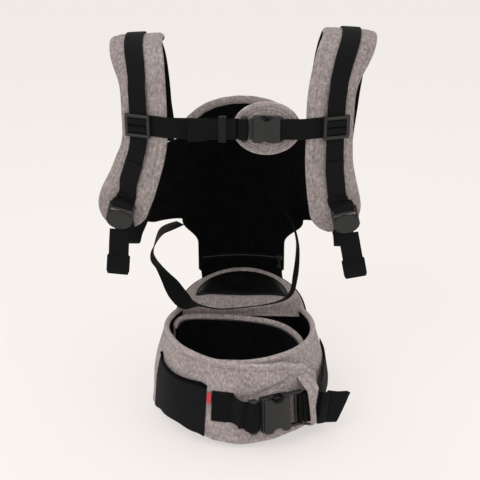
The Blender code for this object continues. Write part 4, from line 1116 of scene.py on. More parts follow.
def wing(name, s, node):
    def f(u, v, k):
        x = lerp(PANEL_HW - 0.0040, WING_HW, u)
        lo = lerp(0.268, 0.296, u ** 0.8) + 0.012 * smooth((u - 0.7) / 0.3)
        hi = PANEL_Z1 - 0.004 - 0.004 * u
        z = lerp(lo, hi, v)
        e = min(u * 0.057, (1 - u) * 0.057, z - lo, hi - z)
        h = 0.0034 * (0.2 + 0.8 * puff(e, 0.0060))
        n = noise.noise(Vector((x * 30, z * 17, 2.0 + s))) * 0.0014 * smooth(e / 0.015)
        return panel_point(s * x, z, 0.0030 + n + (h if k else -h))

    ob = slab(name, 36, 70, f, [GREY, LINING], (0.058, 0.145), "panel_and_straps", (node,), pick=lambda u, v, q: 1 if q == 0 else 0)

    def seams(co, i):
        u = clamp((abs(co.x) - PANEL_HW + 0.004) / (WING_HW - PANEL_HW + 0.004))
        lo = lerp(0.268, 0.296, u ** 0.8) + 0.012 * smooth((u - 0.7) / 0.3)
        hi = PANEL_Z1 - 0.004 - 0.004 * u
        return 1.0 if min(u * 0.064, (1 - u) * 0.064, co.z - lo, hi - co.z) < 0.0060 else 0.0

    inflate(ob, pressure=4.0, frames=12, cap=0.0018, pin=seams)
    pts = []
    for i in range(41):
        u = i / 40
        x = lerp(PANEL_HW - 0.004, WING_HW, u)
        z = lerp(0.268, 0.296, u ** 0.8) + 0.012 * smooth((u - 0.7) / 0.3)
        pts.append(panel_point(s * x, z, 0.0030))
    for i in range(1, 12):
        z = lerp(0.308, 0.340, i / 11)
        pts.append(panel_point(s * (WING_HW - 0.0002), z, 0.0030))
    tube(f"{name}_binding", pts, 0.0036, CLOTH, "panel_and_straps", sides=12)


wing("wing_pad_left", -1, "wing_left")
wing("wing_pad_right", 1, "wing_right")


def skirt(u, v, k):
    """Cloth that closes the gap between the panel's foot and the seat's far rim."""
    x = lerp(-NECK_HW + 0.0010, NECK_HW - 0.0010, u)
    y = SEAT_Y0 + (SEAT_Y1 - SEAT_Y0) * math.sqrt(1 - (x / SEAT_HW) ** 2)
    low = Vector((x, y + 0.0012, seat_z(x, y) - 0.0085))
    high = panel_point(x + neck_shift(PANEL_Z0), PANEL_Z0 + 0.0065, 0.0016)
    sag = -0.0030 * math.sin(math.pi * v) * (0.4 + 0.6 * abs(2 * u - 1))
    h = 0.0009 * (0.4 + 0.6 * puff(min(u * 0.14, (1 - u) * 0.14), 0.002))
    n = noise.noise(Vector((x * 30, v * 3, 2.9))) * 0.0008 * math.sin(math.pi * v)
    return low.lerp(high, v) + Vector((0, sag * 0.3 + n + (h if k else -h), sag))


ob = slab("panel_skirt", 60, 14, skirt, [GREY, LINING], (0.145, 0.03), None, pick=lambda u, v, q: 1 if q == 0 else 0)
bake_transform(ob)

HEAD_HW, HEAD_Z1 = 0.0905, 0.4775


def head_outline(u, v, inset=0.0):
    x, y = half_disc(u, v)
    return x * (HEAD_HW - inset), PANEL_Z1 + 0.0006 + y * (HEAD_Z1 - PANEL_Z1 - inset)


def head_f(u, v, k):
    x, z = head_outline(u, v, 0.0030)
    hx, hy = half_disc(u, v)
    e = max(0.0, min((1 - math.hypot(hx, hy)) * 0.060, hy * 0.05))
    h = 0.0032 * (0.25 + 0.75 * puff(e, 0.010))
    n = noise.noise(Vector((x * 25, z * 30, 9.0))) * 0.0007 * smooth(e / 0.01)
    return panel_point(x, z, 0.0030 + (h if k else -h + n))


ob = slab("headrest_cushion", 60, 34, head_f, [GREY, LINING], (0.18, 0.052), "headrest", ("headrest_pad",), pick=lambda u, v, q: 1 if q == 0 else 0)


def head_seams(co, i):
    x, y = co.x / (HEAD_HW - 0.003), (co.z - PANEL_Z1 - 0.0006) / (HEAD_Z1 - PANEL_Z1 - 0.003)
    return 1.0 if min((1 - math.hypot(x, y)) * 0.060, y * 0.05) < 0.0040 else 0.0


inflate(ob, pressure=4.0, frames=12, cap=0.0014, pin=head_seams)
roll = []
for i in range(73):
    a = math.pi * (1 - i / 72)
    x, z = math.cos(a) * (HEAD_HW - 0.0010), PANEL_Z1 + 0.0080 + math.sin(a) * (HEAD_Z1 - PANEL_Z1 - 0.0085)
    roll.append(panel_point(x, z, 0.0030))
ob = tube("headrest_padded_roll", roll, lambda q: 0.0066 * (0.86 + 0.14 * puff(min(q, 1 - q), 0.05)) * (1 + 0.03 * math.sin(q * 70)), GREY_STRAP, "headrest",
          ("headrest_roll",), sides=20)
run = []
for i in range(2, 71):
    a = math.pi * (1 - i / 72)
    x, z = math.cos(a) * (HEAD_HW - 0.0085), PANEL_Z1 + 0.0080 + math.sin(a) * (HEAD_Z1 - PANEL_Z1 - 0.0160)
    run.append((panel_point(x, z, -0.0006), -panel_normal(x, z)))
stitches("headrest_stitching", [run], BLACK_THREAD, "headrest")


# zip across the neck: tape, coil and slider
def zip_f(u, v, k):
    x, z = lerp(-0.0715, 0.0715, u) - 0.0036, lerp(ZIP_Z - 0.0060, ZIP_Z + 0.0060, v)
    e = min(u * 0.143, (1 - u) * 0.143, v * 0.012, (1 - v) * 0.012)
    return panel_point(x, z, -0.0016 + (0.0006 if k else -0.0006 * (0.4 + 0.6 * puff(e, 0.001))))


slab("zip_tape", 60, 8, zip_f, CLOTH, (0.143, 0.012), "panel_and_straps", ("panel_zip",))
coil = []
for i in range(561):
    x = lerp(-0.0705, 0.0705, i / 560) - 0.0036
    a = 2 * math.pi * (i / 560) * 94
    p = panel_point(x, ZIP_Z + 0.00085 * math.cos(a), -0.0028 + 0.0006 * math.sin(a))
    coil.append(p)
tube("zip_coil", coil, 0.00042, ZIP_THREAD, "panel_and_straps", sides=5)
stitches("zip_stitching", [[(panel_point(lerp(-0.070, 0.070, i / 50), ZIP_Z + dz, -0.0023), -panel_normal(lerp(-0.07, 0.07, i / 50), ZIP_Z)) for i in range(51)]
                           for dz in (0.0048, -0.0048)], BLACK_THREAD, "panel_and_straps")
zp = panel_point(0.0655, ZIP_Z, -0.0030)
moulded("zip_slider_body", [box((0.010, 0.0026, 0.008), (0, 0, 0), 0.0009), box((0.0046, 0.0016, 0.018), (0, -0.0005, -0.011), 0.0006),
                            box((0.0066, 0.0020, 0.0060), (0, -0.0004, -0.0180), 0.0008)],
        [rod(0.0014, 0.01, (0, 0, -0.0185), "Y")], Matrix.Translation(zp) @ Matrix.Rotation(math.radians(-19.5), 4, "Z"), "zip_pull", ("zip_slider",), 0.0002)


# ------------------------------------------------------------------ shoulder straps
STRAP = {
    -1: [(-0.140, 0.0605, 0.4365), (-0.142, 0.086, 0.500), (-0.146, 0.072, 0.568), (-0.150, 0.038, 0.606), (-0.1505, 0.000, 0.617),
         (-0.149, -0.036, 0.607), (-0.1425, -0.066, 0.582), (-0.1390, -0.0795, 0.548), (-0.1385, -0.080, 0.505),
         (-0.1395, -0.0795, 0.455), (-0.151, -0.0735, 0.415), (-0.166, -0.063, 0.376), (-0.174, -0.051, 0.338)],
    1: [(0.140, 0.0605, 0.4365), (0.145, 0.086, 0.503), (0.153, 0.072, 0.576), (0.159, 0.038, 0.615), (0.161, 0.000, 0.627),
        (0.158, -0.036, 0.617), (0.147, -0.066, 0.589), (0.1385, -0.0795, 0.550), (0.1370, -0.080, 0.505),
        (0.1375, -0.0795, 0.455), (0.142, -0.0735, 0.413), (0.148, -0.063, 0.373), (0.1515, -0.051, 0.335)],
}
ROLL = [(0.0, 0), (0.40, 3), (0.60, 20), (0.80, 20), (1.0, 12)]
BEND = [(0.0, 16), (0.40, 18), (0.60, 52), (0.80, 52), (1.0, 26)]


class Strap:
    def __init__(self, s):
        self.s = s
        self.path = Path(STRAP[s])

    def frame(self, v):
        t = self.path.tangent(v)
        out = Vector((self.s, 0, 0))
        b = (out - t * out.dot(t)).normalized()
        n = b.cross(t) * -self.s
        return self.path.pos(v), t, b, n

    def width(self, v):
        return PAD_W * (1 - 0.10 * smooth((0.12 - v) / 0.12)) + 0.004 * smooth((v - 0.7) / 0.2)

    def point(self, q, v, d, flat=False):
        p, t, b, n = self.frame(v)
        if self.s < 0:
            if p.y < 0:
                p = p + Vector((-0.0080 * smooth((0.494 - p.z) / 0.060) * (1 - (0.75 * smooth((v - 0.84) / 0.06) if flat else 0)), 0, 0))
            elif p.y > 0.02:
                p = p + Vector((-0.0075 * smooth((p.y - 0.02) / 0.03) * smooth((p.z - 0.45) / 0.05), 0, 0))
        phi, beta = math.radians(table(ROLL, v)), math.radians(table(BEND, v))
        x = y = 0.0
        q0 = 0.014
        ang = phi
        steps = 8
        if q <= q0 or flat:
            x, y = q * math.cos(phi), -q * math.sin(phi)
        else:
            x, y = q0 * math.cos(phi), -q0 * math.sin(phi)
            dq = (q - q0) / steps
            for i in range(steps):
                ang = phi + beta * clamp((i + 0.5) * dq / 0.027)
                x += dq * math.cos(ang)
                y -= dq * math.sin(ang)
            ang = phi + beta * clamp((q - q0) / 0.027)
        nx, ny = math.sin(ang), math.cos(ang)
        return p + b * (x + nx * d) + n * (y + ny * d)

    def round_end(self, v):
        e = clamp((v - 0.925) / 0.075)
        return math.sqrt(max(0.0, 1 - (0.90 * e) ** 2.2))


def stand_off(z, y):
    if y > 0:
        return 0.0012
    return 0.0012 + 0.0031 * smooth((0.572 - z) / 0.018) * smooth((z - 0.440) / 0.018)


for s, side in ((-1, "left"), (1, "right")):
    st = Strap(s)
    L = st.path.length

    def pad_f(u, v, k, st=st, L=L, s=s):
        w = st.width(v) * st.round_end(v)
        q = (u - 0.5) * w
        e = min((0.5 - abs(u - 0.5)) * w, v * L, (1 - v) * L + 0.004)
        top = -0.0064 + 0.0062 * (0.04 + 0.96 * puff(e, 0.0085))
        low = -0.0064 - 0.0066 * (0.04 + 0.96 * puff(e, 0.0085))
        seam = 0.0009 * bell(e - 0.0105, 0.0016)
        n = noise.noise(Vector((q * 40, v * 16, 3.0 + s))) * 0.0006 + noise.noise(Vector((q * 18, v * 46, 5.0 + s))) * 0.0007
        n *= smooth(e / 0.010) * (0.15 + 0.85 * smooth((abs(q) - 0.012) / 0.006))
        return st.point(q, v, top - seam + n if k else low + seam + n * 0.6)

    ob = slab(f"shoulder_pad_{side}", 44, 150, pad_f, [GREY_STRAP, LINING], (PAD_W, L), "panel_and_straps",
              (f"shoulder_cover_{side}", f"shoulder_foam_{side}", f"shoulder_lining_{side}"), pick=lambda u, v, q: 1 if q == 0 else 0,
              us=lambda u: 0.35 * u + 0.65 * spread(u))
    runs = []
    for sg in (-1, 1):
        run = []
        for i in range(3, 140):
            v = i / 150
            w = st.width(v) * st.round_end(v)
            q = sg * (w / 2 - 0.0105)
            p0, p1 = st.point(q, v, -0.0011), st.point(q, v, 0.0)
            run.append((p0, (p1 - p0).normalized()))
        runs.append(run)
    stitches(f"shoulder_stitching_{side}", runs, GREY_THREAD, "panel_and_straps")

    def web(u, v, k, st=st):
        vv = lerp(0.045, 0.905, v)
        p = st.path.pos(vv)
        d = stand_off(p.z, p.y)
        h = WEB_T / 2 * (0.35 + 0.65 * crown(u, 8))
        return st.point((u - 0.5) * (WEB_S - 0.0030), vv, d + WEB_T / 2 + (h if k else -h), flat=True)

    slab(f"shoulder_web_{side}", 8, 170, web, WEB, (WEB_S, L * 0.86), "panel_and_straps", (f"shoulder_webbing_{side}",), us=spread)

    # second layer, sewn on over the first, that leads to the ladder lock
    def hem(u, v, k, st=st):
        vv = lerp(0.786, 0.901, v)
        p = st.path.pos(vv)
        d = stand_off(p.z, p.y) + WEB_T + 0.0001
        h = 0.0007 * (0.35 + 0.65 * crown(u, 8)) * (0.4 + 0.6 * puff(v * 0.06, 0.0015))
        return st.point((u - 0.5) * (WEB_S - 0.0024), vv, d + 0.0008 + (h if k else -h), flat=True)

    slab(f"shoulder_web_hem_{side}", 8, 40, hem, WEB_HEM, (WEB_S, 0.065), "panel_and_straps", us=spread)
    bars = []
    for vv in (0.790, 0.797, 0.838, 0.845):
        bars.append([(st.point(lerp(-0.0125, 0.0125, i / 10), vv, stand_off(st.path.pos(vv).z, -1) + WEB_T + 0.0017, flat=True),
                      st.frame(vv)[3]) for i in range(11)])
    for a, b in (((-0.0125, 0.797), (0.0125, 0.838)), ((0.0125, 0.797), (-0.0125, 0.838))):
        bars.append([(st.point(lerp(a[0], b[0], i / 14), lerp(a[1], b[1], i / 14), stand_off(0.44, -1) + WEB_T + 0.0017, flat=True),
                      st.frame(0.82)[3]) for i in range(15)])
    stitches(f"shoulder_box_stitch_{side}", bars, BLACK_THREAD, "panel_and_straps", length=0.0020, gap=0.0008)

    lock = {-1: Vector((-0.1735, -0.0765, 0.3640)), 1: Vector((0.1590, -0.0765, 0.3620))}[s]
    tilt = math.radians({-1: 14, 1: -13}[s])
    m = Matrix.Translation(lock) @ Matrix.Rotation(tilt, 4, "Y")
    moulded(f"ladder_lock_body_{side}",
            [box((0.0388, 0.0046, 0.0036), (0, 0, 0.0180), 0.0014), box((0.0036, 0.0062, 0.0300), (0.01770, 0, 0.0050), 0.0014),
             box((0.0036, 0.0062, 0.0300), (-0.01770, 0, 0.0050), 0.0014), rod(0.0021, 0.0350, (0, 0.0002, 0.0045), "X"),
             rod(0.0020, 0.0350, (0, -0.0006, 0.0118), "X"), rod(0.0022, 0.0350, (0, -0.0010, -0.0022), "X"),
             ("rod", 0.0194, 0.0034, (0, -0.0012, -0.0058), "Y", 64, (1, 1, 0.72))],
            [rod(0.0300, 0.0034, (0, -0.0148, -0.0120), "X", 48, (1, 0.42, 0.62))], m, f"ladder_{side}", (f"ladder_lock_{side}",), 0.0005)

    # webbing from the strap's end round the lock's top bar
    bar, across = m @ Vector((0, 0, 0.0180)), (m @ Vector((1, 0, 0)) - lock)
    p0, p1 = st.point(0.0, 0.886, 0.0052, flat=True), st.point(0.0, 0.903, 0.0050, flat=True)
    turn = Path([p0, p1, bar + Vector((0, -0.0034, 0.0050)), bar + Vector((0, -0.0036, -0.0004)), bar + Vector((0, -0.0010, -0.0033)),
                 bar + Vector((0, 0.0026, -0.0012))], [st.frame(0.886)[2], st.frame(0.903)[2]] + [across * s] * 4)
    ribbon(f"lock_web_{side}", turn, 0.0296, -0.0007, 0.0007, 40, WEB_HEM, "panel_and_straps")

    tail_dir = Vector((math.sin(math.radians({-1: 5, 1: -12}[s])) * -1, 0, -1)).normalized()
    top = lock + Vector((0, 0.0030, 0.0)) + tail_dir * 0.0225
    tail = Path([top, top + tail_dir * 0.024, top + tail_dir * 0.048, top + tail_dir * 0.0725], *[[(1, 0, 0)] * 4])

    def tail_f(u, v, k, tail=tail, s=s):
        p, b = tail.at(v)[:2]
        t = tail.tangent(v)
        b = (b - t * b.dot(t)).normalized()
        fat = smooth((v - 0.56) / 0.05)
        w = lerp(WEB_S, 0.0345, fat) * (1 - 0.10 * smooth((v - 0.92) / 0.08))
        h = lerp(WEB_T / 2, 0.0036, fat) * (1 - 0.6 * smooth((v - 0.88) / 0.12))
        h *= 0.4 + 0.6 * crown(u, 6)
        h *= 1 - 0.45 * bell(v - 0.66, 0.012) * fat
        wave = 0.0010 * math.sin(v * 9 + s) * smooth(v * 4)
        return p + b * (u - 0.5) * w + Vector((0, -1, 0)) * (wave + (h if k else -h))

    slab(f"shoulder_tail_web_{side}", 12, 80, tail_f, WEB, (0.032, 0.0725), f"tail_{side}", (f"shoulder_tail_{side}",), us=spread)
    rows = []
    for vv in (0.62, 0.70, 0.93):
        p, b = tail.at(vv)[:2]
        rows.append([(p + Vector(b) * lerp(-0.013, 0.013, i / 8) + Vector((0, -0.0034 * (0.75 if vv < 0.9 else 0.72) - 0.0010 * math.sin(vv * 9 + s), 0)), Vector((0, -1, 0))) for i in range(9)])
    stitches(f"shoulder_tail_stitch_{side}", rows, BLACK_THREAD, f"tail_{side}", length=0.0020, gap=0.0008)

    xs = {-1: (-0.1715, -0.1695, -0.1680, -0.1670, -0.1655, -0.1580, -0.1530), 1: (0.1575, 0.1580, 0.1600, 0.1610, 0.1605, 0.1560, 0.1530)}[s]
    ys = (lock.y + 0.0100, -0.0560, -0.0440, -0.0250, -0.0040, 0.0150, 0.0280)
    zs = (0.3560, 0.3300, 0.3080, 0.3010, 0.3090, 0.3260, 0.3450)
    low = Path(list(zip(xs, ys, zs)), [(1, 0, 0)] * 7)
    ribbon(f"lower_web_{side}", low, WEB_S, 0, WEB_T, 90, WEB, "panel_and_straps", (f"lower_webbing_{side}",))


# ------------------------------------------------------------------ back strap
def local_frame(origin, ex, ez):
    ex, ez = Vector(ex).normalized(), Vector(ez).normalized()
    ey = ez.cross(ex)
    m = Matrix((ex, ey, ez)).transposed().to_4x4()
    m.translation = origin
    return m


def slider_frame(s):
    st = Strap(s)
    vs = min((abs(st.path.pos(i / 400).z - CHEST_Z) + (1 if st.path.pos(i / 400).y > 0 else 0), i / 400) for i in range(401))[1]
    p0, p1 = st.point(-0.010, vs, 0.0, flat=True), st.point(0.010, vs, 0.0, flat=True)
    ex = (p1 - p0) * s
    ex.z = 0
    c = st.point(0.0, vs, 0.0, flat=True)
    c.z = CHEST_Z
    return local_frame(c, ex, (0, 0, 1))


for s, side in ((-1, "left"), (1, "right")):
    m = slider_frame(s)
    moulded(f"chest_slide_{side}",
            [box((0.0385, 0.0026, 0.0330), (0, -0.0074, 0), 0.0012), box((0.0030, 0.0056, 0.0322), (0.01740, -0.0054, 0), 0.0006),
             box((0.0030, 0.0056, 0.0322), (-0.01740, -0.0054, 0), 0.0006), box((0.0360, 0.0011, 0.0050), (0, -0.00320, 0), 0.0003),
             rod(0.0021, 0.0375, (0, -0.0078, 0.0146), "X"), rod(0.0021, 0.0375, (0, -0.0078, -0.0146), "X")],
            [box((0.0300, 0.0120, 0.0234), (0, -0.0086, 0), 0.0012)],
            m, "chest_strap", (f"chest_slider_{side}",), 0.0004)
    for zc, part in ((0.0056, "upper"), (-0.0056, "lower")):
        tube(f"chest_slide_band_{part}_{side}", [m @ Vector((lerp(-0.0146, 0.0146, i / 12), -0.0068, zc)) for i in range(13)], 0.0023, WEB, "chest_strap",
             sides=18, squash=2.15)

    def loc(x, y, m=m):
        return m @ Vector((x, y, 0))

    inner = -s
    b = loc(inner * 0.0385, -0.00130)
    pts = [loc(-inner * 0.0230, -0.00130), loc(-inner * 0.010, -0.00130), loc(inner * 0.010, -0.00130), loc(inner * 0.030, -0.00130)]
    if s < 0:
        wrap = [(-0.0540, 0.0010), (-0.0490, 0.0002), (-0.0465, -0.0032), (-0.0420, -0.0074), (-0.0340, -0.0076), (-0.0283, -0.0045), (-0.0276, 0.0020)]
    else:
        wrap = [(0.0560, 0.0014), (0.0510, 0.0008), (0.0484, -0.0016), (0.0445, -0.0044), (0.0410, -0.0036), (0.0402, 0.0010)]
    wrap = [Vector((CHEST_X + x * CHEST_K, CHEST_Y + y * CHEST_K, CHEST_Z)) for x, y in wrap]
    pts += [Vector((b.x + inner * 0.006, b.y - 0.0022, CHEST_Z)), Vector((lerp(b.x, wrap[0].x, 0.55), lerp(b.y, CHEST_Y, 0.9), CHEST_Z))]
    run = Path(pts + wrap, [(0, 0, 1)] * (len(pts) + len(wrap)))
    body = "chest_strap" if s < 0 else None
    ob = ribbon(f"chest_web_{side}", run, WEB_C, -0.0006, 0.0006, 150, WEB, body, (f"chest_webbing_{side}",))
    if s > 0:
        tuple(pts[3])
        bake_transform(ob)


# ------------------------------------------------------------------ side release buckles
def buckle(prefix, m, w, k, bodies, face_cut, a, b):
    """a, b: the female's face along local x."""
    W = w + 0.008
    T = 0.0140 * k
    cav, wall = 0.0046 * k, 0.0022 * k
    body_f, body_m = bodies
    mid, span = (a + b) / 2, b - a
    # female: barrel-shaped face, a half-round thumb cut at each side with a raised lip, and slotted end bars
    moulded(
        f"{prefix}_female",
        [box((span, T, W), (mid, 0, 0), 0.0030 * k),
         ("rod", span * 0.5, W - 0.003, (mid, T / 2 - span * 0.08 - T + 0.0002, 0), "Z", 96, (0.92, 0.16, 1)),
         box((0.024 * k, 0.0080 * k, 0.0040), (0.0350 * k, 0, W / 2 - 0.0026), 0.0014),
         box((0.024 * k, 0.0080 * k, 0.0040), (0.0350 * k, 0, -W / 2 + 0.0026), 0.0014),
         rod(0.0020 * k, W - 0.004, (0.0360 * k, 0, 0), "Z"), rod(0.0029 * k, W - 0.004, (0.0448 * k, 0, 0), "Z"),
         ("rod", face_cut + 0.0014, 0.0024 * k, (mid, -T / 2 - 0.0002, W / 2 - 0.0006), "Y", 64, (1, 1, 0.86)),
         ("rod", face_cut + 0.0014, 0.0024 * k, (mid, -T / 2 - 0.0002, -W / 2 + 0.0006), "Y", 64, (1, 1, 0.86))],
        [box((0.036 * k, 2 * cav, W - 2 * wall - 0.0044), (a - 0.001 + 0.018 * k, 0, 0), 0.0),
         box((0.015 * k, 2 * cav, 0.016), (0.004 * k, 0, W / 2), 0.0),
         box((0.015 * k, 2 * cav, 0.016), (0.004 * k, 0, -W / 2), 0.0),
         ("rod", face_cut, 0.030 * k, (mid, -0.018 * k, W / 2 + 0.0004), "Y", 64, (1, 1, 0.86)),
         ("rod", face_cut, 0.030 * k, (mid, -0.018 * k, -W / 2 - 0.0004), "Y", 64, (1, 1, 0.86)),
         box((0.05, 0.0400 * k, 0.0200), (mid, 0, W / 2 + 0.0100), 0.0), box((0.05, 0.0400 * k, 0.0200), (mid, 0, -W / 2 - 0.0100), 0.0)],
        m, body_f, (f"{prefix}_buckle_female",), 0.00045)
    moulded(
        f"{prefix}_male",
        [box((0.0130 * k, 0.0105 * k, W), (-0.0365 * k, 0, 0), 0.0040 * k),
         box((0.0170 * k, 0.0070 * k, W - 2 * wall - 0.0056), (-0.0250 * k, 0, 0), 0.0012),
         box((0.0300 * k, 0.0036 * k, 0.0090 * k), (-0.0040 * k, 0, 0), 0.0009)],
        [box((0.0048 * k, 0.0300, w + 0.0010), (-0.0275 * k, 0, 0), 0.0)],
        m, body_m, (f"{prefix}_buckle_male",), 0.00045)


chest_m = local_frame(Vector((CHEST_X, CHEST_Y, CHEST_Z)), (1, 0, 0), (0, 0, 1))
buckle("chest", chest_m, WEB_C, CHEST_K, ("chest_female", "chest_strap"), 0.0068, -0.0120, 0.0270)

wp = ring(WAIST_T0, WAIST_Z)
wn = facing(WAIST_T0, WAIST_Z)
wz = (Matrix.Rotation(math.radians(-WAIST_TILT), 3, wn) @ rise(WAIST_T0, WAIST_Z)).normalized()
wx = wz.cross(-wn).normalized() * -1
if wx.x < 0:
    wx = -wx
wx = Matrix.Rotation(math.radians(6), 3, wz) @ wx
waist_m = local_frame(wp + wn * (OVERLAP_LIFT + WALL + 0.0016 + 0.0070), wx, wz)
buckle("waist", waist_m, WEB_W, 1.0, ("seat_and_belt", "waist_male"), 0.0105, -0.0240, 0.0240)

ct = Path([(-0.0010, CHEST_Y - 0.0036, CHEST_Z), (-0.012, CHEST_Y - 0.0036, CHEST_Z), (-0.035, CHEST_Y - 0.0034, CHEST_Z - 0.0005),
           (-0.050, CHEST_Y - 0.0038, CHEST_Z - 0.0012), (-0.069, CHEST_Y - 0.0044, CHEST_Z - 0.002)], [(0, 0, 1)] * 5)


def ct_f(u, v, k):
    p, b = ct.at(v)[:2]
    fat = smooth((v - 0.57) / 0.04)
    h = lerp(0.0006, 0.0019, fat) * (1 - 0.4 * smooth((v - 0.93) / 0.07)) * (0.4 + 0.6 * crown(u, 8))
    h *= 1 - 0.4 * bell(v - 0.655, 0.010)
    w = lerp(WEB_C - 0.001, 0.0315, fat)
    return p + Vector(b) * (u - 0.5) * w + Vector((0, -h if k else h, 0))


slab("chest_tail_web", 12, 90, ct_f, WEB, (0.030, 0.068), "chest_strap", ("chest_tail",), us=spread)
moulded("chest_keeper_loop", [box((0.0110, 0.0094, 0.0370), (0, 0, 0), 0.0016)], [box((0.03, 0.0074, 0.0338), (0, 0, 0), 0.0006)],
        Matrix.Translation((-0.0200, CHEST_Y - 0.0018, CHEST_Z)), "keeper", ("chest_keeper",), 0.0003, mat=BLACK_THREAD)


def oval(u, v):
    s, t = 2 * u - 1, 2 * v - 1
    return s * math.sqrt(1 - t * t / 2), t * math.sqrt(1 - s * s / 2)


def chest_pad(u, v, k):
    x, z = oval(u, v)
    r = math.hypot(x, z)
    e = max(0.0, (1 - r) * 0.042)
    h = 0.0046 * (0.06 + 0.94 * puff(e, 0.0062)) - 0.0013 * bell(e - 0.0064, 0.0010) - 0.0011 * bell(e - 0.0112, 0.0010)
    h += noise.noise(Vector((x * 2.4, z * 2.2, 0.9))) * 0.0005 * smooth(e / 0.012)
    return Vector((0.0415 + x * 0.0465, CHEST_Y + 0.0125 + (-h if k else h * 0.85), CHEST_Z - 0.0022 + z * 0.0372))


ob = slab("chest_pad_oval", 84, 84, chest_pad, [GREY_STRAP, LINING], (0.093, 0.078), "chest_strap", ("chest_pad",), pick=lambda u, v, q: 0 if q else 1)


def chest_seams(co, i):
    e = (1 - math.hypot((co.x - 0.0415) / 0.0465, (co.z - CHEST_Z + 0.0022) / 0.0372)) * 0.042
    return 1.0 if e < 0.0022 or abs(e - 0.0064) < 0.0011 or abs(e - 0.0112) < 0.0011 else 0.0


inflate(ob, pressure=5.0, frames=12, cap=0.0014, pin=chest_seams)
ob = tube("chest_pad_piping", [Vector((0.0415 + math.cos(a) * 0.0464, CHEST_Y + 0.0125, CHEST_Z - 0.0022 + math.sin(a) * 0.0371))
                               for a in [2 * math.pi * i / 120 for i in range(120)]], 0.0019, PIPE_PAINTED_HIGHLIGHT, "chest_strap", sides=10, closed=True)
rings = []
for e in (0.0064, 0.0112):
    q = 1 - e / 0.042
    rings.append([(Vector((0.0415 + math.cos(a) * 0.0465 * q, CHEST_Y + 0.0125 - 0.0032, CHEST_Z - 0.0022 + math.sin(a) * 0.0372 * q)), Vector((0, -1, 0)))
                  for a in [2 * math.pi * i / 100 for i in range(101)]])
stitches("chest_pad_stitching", rings, GREY_THREAD, "chest_strap")


# ------------------------------------------------------------------ waist webbing
def on_belt(t, z, d):
    return ring(t, z, lift(t) + d)


ZW = WAIST_Z + 0.004


def at_waist(rows):
    return [waist_m @ Vector((row[0], row[1], row[2] if len(row) > 2 else 0)) for row in rows]


rz = rise(268, ZW)
wrap = at_waist([(-0.0560, 0.0062, 0.0065), (-0.0490, 0.0020, 0.0040), (-0.0455, -0.0030, 0.0022), (-0.0400, -0.0066), (-0.0330, -0.0066), (-0.0283, -0.0040), (-0.0278, 0.0030)])
male = Path([on_belt(t, ZW + 0.0080, WALL + 0.0014) for t in (254.6, 258, 261, 264.8)] + [on_belt(267.5, ZW + 0.0070, WALL + 0.0026)] + wrap, [rz] * 5 + [wz] * 7)
ob = ribbon("waist_web_short", male, lambda q: WEB_W * (1 - 0.09 * smooth((q - 0.30) / 0.15)), -WEB_T / 2, WEB_T / 2, 130, WEB, None, ("waist_webbing_short",), nu=12)
tuple(on_belt(264.8, ZW, WALL))
tuple(at_waist([(-0.0540, 0.0040)])[0])
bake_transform(ob)
rows = []
for q in (0.0, 1.0):
    rows.append([])
for (t0, z0), (t1, z1) in (((255.2, 0.0485), (255.2, 0.0915)), ((264.4, 0.0485), (264.4, 0.0915)), ((255.2, 0.0485), (264.4, 0.0485)),
                           ((255.2, 0.0915), (264.4, 0.0915)), ((255.2, 0.0485), (264.4, 0.0915)), ((255.2, 0.0915), (264.4, 0.0485))):
    rows.append([(on_belt(lerp(t0, t1, i / 20), lerp(z0, z1, i / 20), WALL + 0.0023), facing(lerp(t0, t1, i / 20), 0.06)) for i in range(21)])
stitches("waist_box_stitch", [r for r in rows if r], BLACK_THREAD, "seat_and_belt", length=0.0022, gap=0.0009)

ts = (322, 333, 342, 352, 362, 374)
zs = (0.0540, 0.0580, 0.0640, 0.0700, 0.0760, 0.0800)
ds = (0.0270, 0.0190, 0.0100, 0.0075, 0.0065, 0.0060)
wrap = at_waist([(0.0402, 0.0020), (0.0410, -0.0036), (0.0445, -0.0044), (0.0484, -0.0012), (0.0530, 0.0022)])
long_path = Path(wrap + [ring(t, z, d) for t, z, d in zip(ts, zs, ds)], [wz] * 5 + [rise(t, z) for t, z in zip(ts, zs)])
ribbon("waist_web_long", long_path, WEB_W, -WEB_T / 2, WEB_T / 2, 150, WEB, "seat_and_belt", ("waist_webbing_long",), nu=12, ripple=0.0006)

w_a, w_b = at_waist([(0.0470, -0.0064), (0.0570, -0.0034)])
wt = Path([w_a, w_b, ring(319.5, 0.053, 0.0330), Vector((0.1500, -0.0790, 0.0480)), Vector((0.1760, -0.0700, 0.0450))],
          [wz, wz, wz, (0, 0, 1), (0, 0, 1)])


def wt_f(u, v, k):
    v *= 1 - 0.20 * (1 - u) * smooth((v - 0.3) / 0.4)           # the end is cut on the slant
    p, b = wt.at(v)[:2]
    t = wt.tangent(v)
    b = (b - t * b.dot(t)).normalized()
    n = b.cross(t)
    fat = smooth((v - 0.50) / 0.05)
    h = lerp(0.0008, 0.0030, fat) * (1 - 0.6 * smooth((v - 0.92) / 0.08)) * (0.4 + 0.6 * crown(u, 8))
    h *= 1 - 0.4 * bell(v - 0.585, 0.008)
    w = WEB_W * lerp(0.98, 1.10, fat)
    corner = 0.04 * smooth((v - 0.93) / 0.07)
    return p + b * lerp(-0.5 + corner, 0.5 - corner, u) * w + n * (h if k else -h) + Vector((0, 0, -0.0035 * smooth((v - 0.4) / 0.4)))


